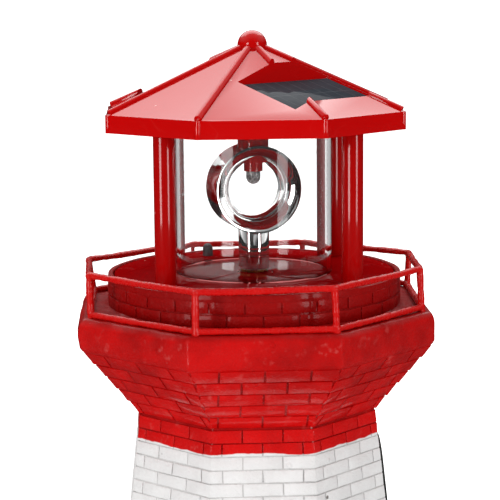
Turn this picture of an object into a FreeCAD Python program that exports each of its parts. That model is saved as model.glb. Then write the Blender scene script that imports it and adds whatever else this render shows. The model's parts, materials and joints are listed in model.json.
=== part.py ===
import FreeCAD, Part
import math
import os
import re
import Sketcher
from FreeCAD import Rotation, Vector

# Garden lighthouse ornament, 360 mm tall, millimetres.
# Origin: centre of the base on the ground. +Z up, the front is -Y.
# Everything eight-sided has flats that face +-X, +-Y and the diagonals; the radii of these
# octagons are measured to their corners.

doc = FreeCAD.newDocument("garden_lighthouse")
sheet = doc.addObject("Spreadsheet::Sheet", "dims")

# --- driving dimensions -------------------------------------------------------------------
# Radii run from the inside out: the cell sets the can, the can and the switch set the curb, and
# the curb sets the gallery and roof. Heights run upwards from the ground in the same way.
DRIVING = {
    # cell, contacts and the can round them
    "cell_radius": 7.1, "cell_length": 50.5, "nub_radius": 2.75, "nub_tall": 1.5,
    "contact_thick": 0.4, "contact_trim": 1.5, "spring_length": 3.2, "leaf_crest": 1.0,
    "leaf_reach": 4.0, "end_wall": 1.1, "end_wall_width": 13.0, "saddle_side": 2.0,
    "cell_lift": 1.5, "cell_room": 2.8, "can_end_room": 5.75, "can_wall": 1.6,
    "ear_reach": 6.0, "ear_thick": 2.0, "cover_thick": 2.0, "spigot_tall": 2.0,
    "cover_boss_inset": 8.4,
    # motor and board above the cell
    "motor_radius": 12.0, "motor_tall": 16.0, "motor_gap": 4.3, "motor_ear_reach": 3.6,
    "motor_ear_thick": 1.2, "motor_boss_radius": 2.6, "nose_radius": 3.75, "nose_tall": 1.0,
    "terminal_wide": 2.0, "terminal_thick": 0.5, "terminal_tall": 2.5,
    "board_long": 36.0, "board_wide": 26.0, "board_thick": 1.6, "board_lift": 4.0,
    "board_room": 5.8, "chip_long": 5.0, "chip_wide": 4.0, "chip_tall": 1.6, "plug_long": 6.0,
    "plug_wide": 5.0, "plug_tall": 3.0, "coil_radius": 2.2, "coil_tall": 3.0,
    "store_radius": 2.5, "store_tall": 3.5,
    # push switch under the lantern floor
    "switch_side": 8.0, "switch_tall": 7.0, "switch_room": 0.2, "button_angle": 113.84,
    "button_radius": 2.05, "button_proud": 4.4, "button_flange": 3.0,
    "button_flange_thick": 0.8, "button_travel": 1.5,
    # tower casting
    "plinth_height": 11.0, "plinth_step": 5.0, "plinth_bevel": 3.5,
    "tower_rise": 218.5, "tower_spread": 26.0, "neck_room": 12.0, "corbel_rise": 24.1,
    "band_height": 7.0, "shoulder_height": 3.2, "shoulder_width": 2.2,
    "shoulder_turn_up": 2.08, "shoulder_turn_in": 0.66, "walkway": 13.5,
    "deck_thick": 5.3, "casting_wall": 5.6, "gallery_wall": 7.0,
    "curb_wall": 2.0, "curb_height": 11.2, "ledge_width": 4.0,
    # windows, each hung from the neck, and the door
    "window_width": 14.0, "window_tall": 28.0, "window_proud": 1.8, "window_border": 2.0,
    "window_recess": 1.2, "window_bar": 1.2, "bar_sink": 0.4, "window_high_drop": 24.0,
    "window_mid_drop": 89.0, "window_low_drop": 153.0,
    "door_width": 20.0, "door_tall": 40.0, "door_step": 0.5,
    # base plate
    "base_plate_thick": 3.0, "base_plate_recess": 0.6, "base_rim": 7.0, "drain_radius": 3.0,
    "base_boss_radius": 6.0, "base_boss_tall": 14.0, "base_boss_inset": 15.0,
    # railing
    "rail_inset": 3.1, "rail_wire": 0.95, "rail_top_lift": 13.3, "rail_low_lift": 1.8,
    "post_wire": 1.05, "post_socket": 3.0,
    # lantern floor and what stands on it
    "floor_recess": 0.2, "floor_thick": 4.0, "tube_radius": 26.6, "tube_wall": 1.3,
    "pillar_radius": 3.5, "pillar_inset": 4.7, "pillar_tall": 51.4,
    "boss_drop": 6.0, "boss_radius": 3.4,
    # roof
    "eave_reach": 5.97, "eave_room": 0.6, "roof_rise": 22.2, "roof_tip": 0.53,
    "roof_wall": 1.8, "rib_radius": 1.25, "bead_radius": 1.1, "bead_inset": 0.88,
    "ball_radius": 5.0, "ball_sink": 0.8, "ceiling_recess": 2.0, "ceiling_thick": 1.8,
    "roof_screw_inset": 11.5, "roof_boss_radius": 3.2, "roof_boss_rise": 4.0,
    # solar pockets and panels: lengths outwards from the roof's axis, depths under its slope
    "pocket_inset": 15.0, "pocket_long": 24.4, "pocket_width": 45.0, "panel_inner_sink": 6.13,
    "panel_outer_sink": 2.67, "panel_thick": 1.6, "pocket_floor": 1.4,
    # light, hung from the ceiling
    "led_boss_radius": 5.25, "led_boss_drop": 14.0, "lip_wall": 1.9, "lip_tall": 1.6,
    "holder_radius": 3.2, "holder_proud": 3.1, "holder_deep": 3.3, "led_radius": 2.43,
    "led_proud": 4.5, "led_sunk": 2.6, "lead_radius": 0.25, "lead_spread": 1.27,
    "lead_proud": 0.8,
    # reflector, level with the light
    "ring_radius": 14.8, "ring_length": 14.7, "ring_throat": 9.0, "ring_lip": 0.6,
    "tip_rise": 1.3, "ring_yaw": 12.3, "boss_hole_gap": 0.45, "stem_radius": 5.25,
    "stem_web": 2.0, "shaft_radius": 1.5, "bush_radius": 3.6, "bush_flange": 4.6,
    "bush_flange_thick": 0.8,
    # screws
    "screw_radius": 1.1, "screw_head": 2.4, "screw_head_thick": 1.5, "screw_length": 7.5,
    "short_screw": 4.5, "blind_end": 2.0,
    # clearances
    "slide_gap": 0.3, "seat_gap": 0.1, "running_gap": 0.05, "stop_gap": 0.05, "press_gap": 0.02,
    # how far a cutting tool runs past a face, and how far joined solids run into each other
    "past": 1.0, "root": 0.5,
}

for row, (alias, value) in enumerate(DRIVING.items(), 1):
    sheet.set("A%d" % row, str(value))
    sheet.setAlias("A%d" % row, alias)
doc.recompute()

# --- places worked out from them -----------------------------------------------------------
FLAT = "cos(22.5)"                      # corner radius of an octagon to its flat
DERIVED = {
    # radii, from the inside out
    "can_radius": "(cell_length / 2 + can_end_room)",
    "can_bore": "(can_radius - can_wall)",
    "can_boss_circle": "(can_radius + ear_reach)",
    "cover_boss_circle": "(can_bore - cover_boss_inset)",
    "motor_ear_circle": "(motor_radius + motor_ear_reach)",
    "button_circle": "(can_radius + 0.95 * switch_side)",
    "button_x": "(button_circle * cos(button_angle))",
    "button_y": "(button_circle * sin(button_angle))",
    "ledge_bore": "(button_circle + 0.65 * switch_side + switch_room)",
    "curb_bore": "(ledge_bore + ledge_width)",
    "curb_radius": "(curb_bore + curb_wall)",
    "band_radius": "(curb_radius + walkway)",
    "rail_radius": "(band_radius - rail_inset)",
    "neck_radius": "(can_radius + neck_room)",
    "foot_radius": "(neck_radius + tower_spread)",
    "plinth_radius": "(foot_radius + plinth_step)",
    "corner_wall": "(casting_wall / %s)" % FLAT,
    "base_bore": "(plinth_radius - base_rim)",
    "base_screw_circle": "(base_bore - base_boss_inset + corner_wall)",
    "floor_radius": "(curb_bore - slide_gap)",
    "pillar_circle": "(floor_radius - pillar_inset)",
    "pillar_bore": "(screw_radius + running_gap)",
    "roof_radius": "((pillar_circle + eave_reach) / %s)" % FLAT,
    "roof_inner": "(roof_radius - roof_wall / %s)" % FLAT,
    "roof_screw_circle": "(roof_radius - roof_screw_inset)",
    "pocket_outer": "(roof_radius - pocket_inset)",
    "pocket_inner": "(pocket_outer - pocket_long)",
    "ring_mouth": "(ring_radius - ring_lip)",
    # heights of the tower
    "base_seat": "(base_plate_recess + base_plate_thick)",
    "tower_foot": "(plinth_height + plinth_bevel)",
    "neck_top": "(tower_foot + tower_rise)",
    "tower_taper": "(tower_spread / tower_rise)",
    "band_bottom": "(neck_top + corbel_rise)",
    "band_top": "(band_bottom + band_height)",
    "deck_height": "(band_top + shoulder_height)",
    "curb_rim": "(deck_height + curb_height)",
    "rail_top_z": "(deck_height + rail_top_lift)",
    "rail_low_z": "(deck_height + rail_low_lift)",
    # heights of the lantern
    "floor_top": "(curb_rim - floor_recess)",
    "floor_under": "(floor_top - floor_thick)",
    "boss_under": "(floor_under - boss_drop)",
    "motor_top": "(floor_under - motor_gap)",
    "board_z": "(motor_top - motor_tall - board_room - board_thick)",
    "partition_z": "(board_z - board_lift - can_wall)",
    "can_bottom": "(partition_z - 2 * cell_radius - cell_room)",
    "cell_axis_z": "(can_bottom + cell_lift + cell_radius)",
    "stem_foot": "(floor_top + bush_flange_thick + slide_gap)",
    "ceiling_under": "(floor_top + pillar_tall)",
    "ceiling_top": "(ceiling_under + ceiling_thick)",
    "roof_bottom": "(ceiling_under - ceiling_recess)",
    "fascia_height": "(ceiling_recess + ceiling_thick + screw_head_thick + eave_room)",
    "eave_top": "(roof_bottom + fascia_height)",
    "roof_apex": "(eave_top + roof_rise)",
    "ball_height": "(roof_apex - ball_sink)",
    # slopes of the roof and its panels
    "hip_slope": "(roof_rise / roof_radius)",
    "flat_slope": "(hip_slope / %s)" % FLAT,
    "roof_drop": "(roof_wall * sqrt(1 + flat_slope^2))",
    "panel_inner_z": "(roof_apex - pocket_inner * flat_slope - panel_inner_sink)",
    "panel_outer_z": "(roof_apex - pocket_outer * flat_slope - panel_outer_sink)",
    "panel_slope": "((panel_inner_z - panel_outer_z) / pocket_long)",
    "panel_drop": "(panel_thick * sqrt(1 + panel_slope^2))",
    # the light and the reflector
    "led_boss_bottom": "(ceiling_under - led_boss_drop)",
    "holder_bottom": "(led_boss_bottom - holder_proud)",
    "holder_top": "(led_boss_bottom + holder_deep)",
    "led_tip": "(holder_bottom - led_proud)",
    "led_base": "(holder_top - led_sunk)",
    "lead_top": "(ceiling_under + lead_proud)",
    "ring_height": "(led_tip - tip_rise)",
    # the cell between its contacts
    "positive_wall": "(sqrt(can_bore^2 - (end_wall_width / 2)^2) - end_wall - seat_gap)",
    "cell_centre": "(positive_wall - contact_thick - cell_length / 2)",
    "negative_wall": "(positive_wall - contact_thick - cell_length - spring_length)",
    # the button under its floor
    "flange_top": "(floor_under - stop_gap)",
    "recess_depth": "(button_flange_thick + button_travel + 2 * stop_gap + seat_gap)",
}


def spelled(text):
    """The expression with every derived name written out down to the sheet's own cells."""
    text = str(text)
    while any(re.search(r"\b%s\b" % name, text) for name in DERIVED):
        text = re.sub(r"\b[a-z_]+\b", lambda m: DERIVED.get(m.group(), m.group()), text)
    return re.sub(r"\b[a-z_]+\b", lambda m: ("dims." if m.group() in DRIVING else "") + m.group(), text)


def number(text):
    """The expression's value in plain millimetres or degrees."""
    result = sheet.evalExpression(spelled(text))
    return float(getattr(result, "Value", result))


def bind(item, **sizes):
    for prop, text in sizes.items():
        item.setExpression(prop.replace("__", "."), spelled(text))
    return item


# --- small makers ----------------------------------------------------------------------------
def put(item, x=0, y=0, z=0):
    return bind(item, Placement__Base__x=x, Placement__Base__y=y, Placement__Base__z=z)


def add(kind, name):
    item = doc.addObject(kind, name)
    item.Label = name
    return item


def rod(name, radius, bottom, top, x=0, y=0):
    """Upright cylinder between two heights."""
    item = add("Part::Cylinder", name)
    bind(item, Radius=radius, Height="(%s) - (%s)" % (top, bottom))
    return put(item, x, y, bottom)


def block(name, long, wide, bottom, top, x=0, y=0):
    """Upright box centred on x, y."""
    item = add("Part::Box", name)
    bind(item, Length=long, Width=wide, Height="(%s) - (%s)" % (top, bottom))
    return put(item, "(%s) - (%s) / 2" % (x, long), "(%s) - (%s) / 2" % (y, wide), bottom)


def frustum(name, low, high, turn):
    """Four-sided solid between two (corner radius of the octagon, height) levels."""
    item = add("Part::Wedge", name)
    item.Placement.Rotation = Rotation(Vector(0, 0, 1), turn) * Rotation(Vector(1, 0, 0), 90)
    wide, narrow = ("(%s) * %s" % (radius, FLAT) for radius in (low[0], high[0]))
    return bind(item, Xmin="-" + wide, Xmax=wide, Zmin="-" + wide, Zmax=wide, Ymin=low[1],
                X2min="-" + narrow, X2max=narrow, Z2min="-" + narrow, Z2max=narrow, Ymax=high[1])


def stack(name, levels):
    """Eight-sided solid through (corner radius, height) levels, each tier two crossed frustums."""
    tiers = []
    for i, (low, high) in enumerate(zip(levels, levels[1:])):
        halves = [frustum("%s_%d_%d" % (name, i, turn), low, high, turn) for turn in (0, 45)]
        tiers.append(common("%s_tier_%d" % (name, i), *halves))
    return tiers[0] if len(tiers) == 1 else fuse(name, *tiers)


def cut(name, base, *tools):
    item = add("Part::Cut", name)
    item.Base = base
    item.Tool = tools[0] if len(tools) == 1 else fuse(name + "_tools", *tools)
    return item


def fuse(name, *solids):
    item = add("Part::MultiFuse", name)
    item.Shapes = list(solids)
    return item


def common(name, first, second):
    item = add("Part::MultiCommon", name)
    item.Shapes = [first, second]
    return item


def group(name, solids):
    """Several equal loose solids that share one node."""
    item = add("Part::Compound", name)
    item.Links = list(solids)
    return item


def around(radius, angle):
    """x and y expressions of a point on a circle about the Z axis."""
    return "(%s) * cos(%s)" % (radius, angle), "(%s) * sin(%s)" % (radius, angle)


def plane(body, role):
    return next(f for f in body.Origin.OriginFeatures if f.Role == role)


def outline(body, name, points, arcs=None, role="XZ_Plane"):
    """Closed sketch through (x, y) expressions; arcs gives {side: (centre x, centre y)}."""
    sketch = body.newObject("Sketcher::SketchObject", name)
    sketch.AttachmentSupport = [(plane(body, role), "")]
    sketch.MapMode = "FlatFace"
    corners = [Vector(number(x), number(y), 0) for x, y in points]
    arcs = arcs or {}
    for i, start in enumerate(corners):
        end = corners[(i + 1) % len(corners)]
        if i in arcs:
            centre = Vector(number(arcs[i][0]), number(arcs[i][1]), 0)
            sketch.addGeometry(arc_between(start, end, centre))
        else:
            sketch.addGeometry(Part.LineSegment(start, end))
    for i, (x, y) in enumerate(points):
        before = (i - 1) % len(points)
        start_of_side = vertex_ids(sketch, i, corners[i])
        end_of_before = vertex_ids(sketch, before, corners[i])
        sketch.addConstraint(Sketcher.Constraint("Coincident", before, end_of_before, i, start_of_side))
        pin_point(sketch, i, start_of_side, x, y)
    for i, (x, y) in arcs.items():
        pin_centre(sketch, i, x, y)
    return sketch


def arc_between(start, end, centre):
    """Short arc from start to end about centre."""
    circle = Part.Circle(centre, Vector(0, 0, 1), (start - centre).Length)
    first, last = circle.parameter(start), circle.parameter(end)
    if (last - first) % (2 * math.pi) > math.pi:
        first, last = last, first
    return Part.ArcOfCircle(circle, first, last)


def vertex_ids(sketch, side, corner):
    """1 or 2: which end of this side lies on the corner."""
    near_start = (sketch.getPoint(side, 1) - corner).Length < (sketch.getPoint(side, 2) - corner).Length
    return 1 if near_start else 2


def pin_point(sketch, side, end, x, y):
    """Holds a corner at (x, y): on an axis where the value is nothing, else by a distance."""
    for kind, text, axis in (("DistanceX", x, -2), ("DistanceY", y, -1)):
        value = number(text)
        if abs(value) < 1e-9:
            sketch.addConstraint(Sketcher.Constraint("PointOnObject", side, end, axis))
        else:
            rule = sketch.addConstraint(Sketcher.Constraint(kind, -1, 1, side, end, value))
            sketch.setExpression("Constraints[%d]" % rule, spelled(text))


def pin_centre(sketch, side, x, y):
    """An arc between two held ends has one freedom left: its centre's place along the line
    between them, held here in x or y, whichever the ends differ less in."""
    ends = sketch.getPoint(side, 1) - sketch.getPoint(side, 2)
    kind, text, axis = ("DistanceX", x, -2) if abs(ends.x) < abs(ends.y) else ("DistanceY", y, -1)
    value = number(text)
    if abs(value) < 1e-9:
        sketch.addConstraint(Sketcher.Constraint("PointOnObject", side, 3, axis))
    else:
        rule = sketch.addConstraint(Sketcher.Constraint(kind, -1, 1, side, 3, value))
        sketch.setExpression("Constraints[%d]" % rule, spelled(text))


def turned(name, points, arcs=None):
    """Body of revolution about its own Z axis, from a half section of (radius, height)."""
    body = add("PartDesign::Body", name)
    sketch = outline(body, name + "_section", points, arcs)
    spin = body.newObject("PartDesign::Revolution", name + "_turned")
    spin.Profile = sketch
    spin.ReferenceAxis = (sketch, ["V_Axis"])
    spin.Angle = 360
    sketch.Visibility = False
    return body


def slab(name, points, width, yaw):
    """Side view of (outward distance, height) points, as wide as given, turned to face yaw."""
    body = add("PartDesign::Body", name)
    sketch = outline(body, name + "_side", points)
    pad = body.newObject("PartDesign::Pad", name + "_pad")
    pad.Profile = sketch
    pad.Midplane = True
    bind(pad, Length=width)
    body.Placement.Rotation = Rotation(Vector(0, 0, 1), yaw)
    return body


def tube_section(inner, outer, bottom, top):
    return [(inner, bottom), (outer, bottom), (outer, top), (inner, top)]


def screws(name, places, seat, length, points_up):
    """Pan-head screws: the head bears on the seat height, the shank runs up or down from it."""
    solids = []
    side = 1 if points_up else -1
    for i, (x, y) in enumerate(places):
        head_end = "(%s) - %d * screw_head_thick" % (seat, side)
        tip = "(%s) + %d * (%s)" % (seat, side, length)
        low, high = (head_end, seat) if points_up else (seat, head_end)
        head = rod("%s_head_%d" % (name, i), "screw_head", low, high, x, y)
        low, high = (seat, tip) if points_up else (tip, seat)
        shank = rod("%s_shank_%d" % (name, i), "screw_radius", low, high, x, y)
        solids.append(fuse("%s_%d" % (name, i), head, shank))
    return group(name, solids)


CORNERS = [22.5 + 45 * i for i in range(8)]
DIAGONALS = [45, 135, 225, 315]
SIDES = [0, 90, 180, 270]


# --- tower ---------------------------------------------------------------------------------
def arched(name, wide, tall, depth):
    """Round-topped panel: a box with a half-round head, standing on z = 0, face at y = 0."""
    body = add("PartDesign::Body", name)
    half = "(%s) / 2" % wide
    spring_line = "(%s) - (%s) / 2" % (tall, wide)
    points = [("-" + half, "0"), (half, "0"), (half, spring_line), ("0", tall), ("-" + half, spring_line)]
    middle = ("0", spring_line)
    sketch = outline(body, name + "_face", points, {2: middle, 3: middle})
    pad = body.newObject("PartDesign::Pad", name + "_pad")
    pad.Profile = sketch
    pad.Midplane = True
    bind(pad, Length=depth)
    return body


def wall_radius(height):
    """Distance from the axis to the flat of the tower's wall at a height."""
    return "((neck_radius + (neck_top - (%s)) * tower_taper) * %s)" % (height, FLAT)


def on_wall(item, yaw, sill):
    """Stands a panel's face on the sloping wall that faces yaw."""
    lean = math.degrees(math.atan(number("tower_taper * %s" % FLAT)))
    item.Placement.Rotation = Rotation(Vector(0, 0, 1), yaw + 90) * Rotation(Vector(1, 0, 0), -lean)
    x, y = around(wall_radius(sill), yaw)
    return put(item, x, y, sill)


def window(name, yaw, sill):
    """Raised arched frame with a sunk pane and a cross of glazing bars."""
    frame = on_wall(arched(name + "_frame", "window_width", "window_tall", "2 * window_proud"), yaw, sill)
    pane_tool = arched(name + "_pane", "window_width - 2 * window_border",
                       "window_tall - 2 * window_border", "2 * window_recess")
    on_wall(pane_tool, yaw, sill)
    lift = pane_tool.Placement.Rotation.multVec(
        Vector(0, -number("window_proud"), number("window_border")))
    x, y = around(wall_radius(sill), yaw)
    put(pane_tool, "%s + %f" % (x, lift.x), "%s + %f" % (y, lift.y), "%s + %f" % (sill, lift.z))
    upright = add("Part::Box", name + "_upright")
    bind(upright, Length="window_bar", Width="window_proud", Height="window_tall - window_border")
    crossbar = add("Part::Box", name + "_crossbar")
    bind(crossbar, Length="window_width - window_border", Width="window_proud", Height="window_bar")
    bars = []
    for bar, out, up in ((upright, "window_bar / 2", "window_border / 2"),
                         (crossbar, "(window_width - window_border) / 2", "window_tall / 2")):
        bar.Placement.Rotation = pane_tool.Placement.Rotation
        shift = bar.Placement.Rotation.multVec(Vector(-number(out), number("bar_sink - window_proud"),
                                                      number(up)))
        put(bar, "%s + %f" % (x, shift.x), "%s + %f" % (y, shift.y), "%s + %f" % (sill, shift.z))
        bars.append(bar)
    return fuse(name, cut(name + "_sunk", frame, pane_tool), *bars)


def tower_casting():
    outside = stack("tower_outside", [
        ("plinth_radius", "0"),
        ("plinth_radius", "plinth_height"),
        ("foot_radius", "tower_foot"),
        ("neck_radius", "neck_top"),
        ("band_radius", "band_bottom"),
        ("band_radius", "band_top"),
        ("band_radius - shoulder_turn_in", "band_top + shoulder_turn_up"),
        ("band_radius - shoulder_width", "deck_height")])
    cavity = stack("tower_cavity", [
        ("foot_radius + plinth_bevel * tower_taper - corner_wall", "base_seat - past"),
        ("neck_radius - corner_wall", "neck_top"),
        ("band_radius - gallery_wall", "band_bottom"),
        ("band_radius - gallery_wall", "deck_height - deck_thick")])
    curb = rod("curb_outside", "curb_radius", "deck_height - past", "curb_rim")
    bore = rod("gallery_bore", "ledge_bore", "deck_height - deck_thick - past",
               "curb_rim")
    rebate = rod("curb_rebate", "curb_bore", "floor_under", "curb_rim + past")
    base_rebate = stack("base_rebate", [("base_bore", "-past"), ("base_bore", "base_seat")])
    sockets = [rod("post_socket_%d" % i, "post_wire + seat_gap", "deck_height - post_socket",
                   "deck_height + past", *around("rail_radius", a)) for i, a in enumerate(CORNERS)]
    bosses = [rod("base_boss_%d" % i, "base_boss_radius", "base_seat", "base_seat + base_boss_tall",
                  *around("base_screw_circle", a)) for i, a in enumerate(CORNERS[::2])]
    holes = [rod("base_hole_%d" % i, "screw_radius", "base_seat - past",
                 "base_seat + base_boss_tall - blind_end", *around("base_screw_circle", a))
             for i, a in enumerate(CORNERS[::2])]
    shell = cut("tower_shell", fuse("tower_solid", outside, curb), cavity, bore, rebate, base_rebate,
                *sockets)
    inside_bosses = common("base_bosses", fuse("base_boss_rods", *bosses), outside)
    door = on_wall(arched("entry_door", "door_width", "door_tall", "2 * window_proud"), 270,
                   "tower_foot + door_step")
    reliefs = [door, window("window_high_right", 0, "neck_top - window_high_drop - window_tall / 2"),
               window("window_mid_front", 270, "neck_top - window_mid_drop - window_tall / 2"),
               window("window_low_left", 180, "neck_top - window_low_drop - window_tall / 2")]
    return cut("tower_casting", fuse("tower_with_reliefs", shell, inside_bosses, *reliefs), *holes)


def octagon(name, radius, height):
    """Flat octagon whose sides face the axes and the diagonals."""
    item = add("Part::RegularPolygon", name)
    item.Polygon = 8
    item.Placement.Rotation = Rotation(Vector(0, 0, 1), 22.5)
    bind(item, Circumradius=radius)
    return put(item, z=height)


def rail_ring(name, height):
    """Wire bent to an octagon, its corners over the posts."""
    path = octagon(name + "_path", "rail_radius", height)
    section = add("Part::Circle", name + "_wire")
    section.Placement.Rotation = Rotation(Vector(1, 0, 0), 90)
    bind(section, Radius="rail_wire")
    put(section, "rail_radius * " + FLAT, 0, height)
    item = add("Part::Sweep", name)
    item.Sections = [section]
    item.Spine = (path, ["Edge%d" % (i + 1) for i in range(8)])
    item.Solid = True
    item.Transition = "Right corner"
    return item


def rail_bar(name, index):
    """Straight lower wire from the axis of one post to the next."""
    item = add("Part::Cylinder", name)
    start, middle = CORNERS[index], CORNERS[index] + 22.5
    item.Placement.Rotation = Rotation(Vector(0, 0, 1), middle + 90) * Rotation(Vector(0, 1, 0), 90)
    bind(item, Radius="rail_wire", Height="2 * rail_radius * sin(22.5)")
    x, y = around("rail_radius", start)
    return put(item, x, y, "rail_low_z")


def railing():
    top = rail_ring("rail_top", "rail_top_z")
    blanks = [rod("post_blank_%d" % i, "post_wire", "deck_height - post_socket + seat_gap",
                  "rail_top_z", *around("rail_radius", a)) for i, a in enumerate(CORNERS)]
    posts = group("rail_posts", [cut("rail_post_%d" % i, blank, top) for i, blank in enumerate(blanks)])
    bars = []
    for i in range(8):
        bar = rail_bar("rail_bar_%d" % i, i)
        bars.append(cut("rail_low_%d" % i, bar, blanks[i], blanks[(i + 1) % 8]))
    return [top, group("rail_bottom", bars), posts]


def base_parts():
    places = [around("base_screw_circle", a) for a in CORNERS[::2]]
    blank = stack("base_plate_blank", [("base_bore - slide_gap", "base_plate_recess"),
                                       ("base_bore - slide_gap", "base_seat")])
    drain = rod("drain_hole", "drain_radius", "-past", "base_seat + past")
    seat = "base_plate_recess + screw_head_thick + seat_gap"
    holes = []
    for i, (x, y) in enumerate(places):
        holes.append(rod("plate_hole_%d" % i, "screw_radius + seat_gap", "-past",
                         "base_seat + past", x, y))
        holes.append(rod("plate_recess_%d" % i, "screw_head + seat_gap", "-past", seat, x, y))
    plate = cut("base_plate", blank, drain, *holes)
    return [plate, screws("base_screws", places, seat, "screw_length", True)]


# --- lantern ----------------------------------------------------------------------------------
PILLARS = [around("pillar_circle", a) for a in DIAGONALS]
CAN_SCREWS = [around("can_boss_circle", a) for a in SIDES]
MOTOR_SCREWS = [("motor_ear_circle", "0"), ("-motor_ear_circle", "0")]
ROOF_SCREWS = [around("roof_screw_circle", a) for a in SIDES]
COVER_SCREWS = [("0", "cover_boss_circle"), ("0", "-cover_boss_circle")]


def lantern_floor():
    disc = rod("floor_disc", "floor_radius", "floor_under", "floor_top")
    bosses = [rod("floor_boss_%d" % i, "boss_radius", "boss_under", "floor_under + root", x, y)
              for i, (x, y) in enumerate(CAN_SCREWS)]
    bosses += [rod("motor_boss_%d" % i, "motor_boss_radius", "motor_top", "floor_under + root",
                   x, y)
               for i, (x, y) in enumerate(MOTOR_SCREWS)]
    holes = [rod("bush_hole", "bush_radius + press_gap", "floor_under - past", "floor_top + past"),
             rod("button_hole", "button_radius + running_gap", "floor_under - past",
                 "floor_top + past", "button_x", "button_y")]
    for i, (x, y) in enumerate(PILLARS):
        holes.append(rod("pillar_hole_%d" % i, "screw_radius + seat_gap", "floor_under - past",
                         "floor_top + past", x, y))
        holes.append(rod("pillar_recess_%d" % i, "screw_head + seat_gap", "floor_under - past",
                         "floor_under + screw_head_thick + seat_gap", x, y))
    for i, (x, y) in enumerate(CAN_SCREWS):
        holes.append(rod("floor_pilot_%d" % i, "screw_radius", "boss_under - past", "floor_under",
                         x, y))
    for i, (x, y) in enumerate(MOTOR_SCREWS):
        holes.append(rod("motor_pilot_%d" % i, "screw_radius", "motor_top - past",
                         "floor_under + floor_thick / 2", x, y))
    return cut("lantern_floor", fuse("floor_solid", disc, *bosses), *holes)


def machinery_can():
    wall = rod("can_blank", "can_radius", "can_bottom", "floor_under")
    upper = rod("can_upper", "can_bore", "partition_z + can_wall", "floor_under + past")
    lower = rod("can_lower", "can_bore", "can_bottom - past", "partition_z")
    ears = []
    for i, (x, y) in enumerate(CAN_SCREWS):
        tab = rod("can_ear_%d" % i, "boss_radius", "boss_under - ear_thick", "boss_under", x, y)
        reach = "can_boss_circle - can_radius + can_wall / 2"
        middle = "(can_boss_circle + can_radius - can_wall / 2) / 2"
        along_x = SIDES[i] % 180 == 0
        arm = block("can_arm_%d" % i, reach if along_x else "2 * boss_radius",
                    "2 * boss_radius" if along_x else reach,
                    "boss_under - ear_thick", "boss_under", *around(middle, SIDES[i]))
        hole = rod("can_ear_hole_%d" % i, "screw_radius + seat_gap",
                   "boss_under - ear_thick - past", "boss_under + past", x, y)
        ears.append(cut("can_tab_%d" % i, fuse("can_tab_solid_%d" % i, tab, arm), hole))
    # battery bay: saddles over the cell, a wall behind each contact, bosses for the cover
    saddles = [block("saddle_%d" % i, "can_wall", "2 * (cell_radius + saddle_side)",
                     "cell_axis_z + cell_radius / 2", "partition_z + root", x)
               for i, x in enumerate(("-cell_length / 4", "cell_length / 4"))]
    cell_space = add("Part::Cylinder", "cell_space")
    cell_space.Placement.Rotation = Rotation(Vector(0, 1, 0), 90)
    bind(cell_space, Radius="cell_radius + seat_gap", Height="2 * can_radius")
    put(cell_space, "-can_radius", 0, "cell_axis_z")
    walls = [block("end_wall_" + name, "end_wall", "end_wall_width", "can_bottom + spigot_tall + root",
                   "partition_z + root", place)
             for name, place in (("plus", "positive_wall + end_wall / 2"),
                                 ("minus", "negative_wall - end_wall / 2"))]
    bosses = [rod("cover_boss_%d" % i, "boss_radius", "can_bottom", "partition_z + root", x, y)
              for i, (x, y) in enumerate(COVER_SCREWS)]
    pilots = [rod("cover_pilot_%d" % i, "screw_radius", "can_bottom - past",
                  "partition_z - blind_end", x, y) for i, (x, y) in enumerate(COVER_SCREWS)]
    posts = [rod("board_post_%d_%d" % (i, j), "boss_radius / 2", "partition_z + can_wall - root",
                 "board_z", "%d * (board_long / 2 - boss_radius)" % i,
                 "%d * (board_wide / 2 - boss_radius)" % j) for i in (-1, 1) for j in (-1, 1)]
    body = cut("can_body", wall, upper, lower)
    bay = cut("battery_bay", fuse("bay_parts", *saddles), cell_space)
    return cut("machinery_can", fuse("can_parts", body, bay, *walls, *bosses, *posts, *ears), *pilots)


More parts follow.
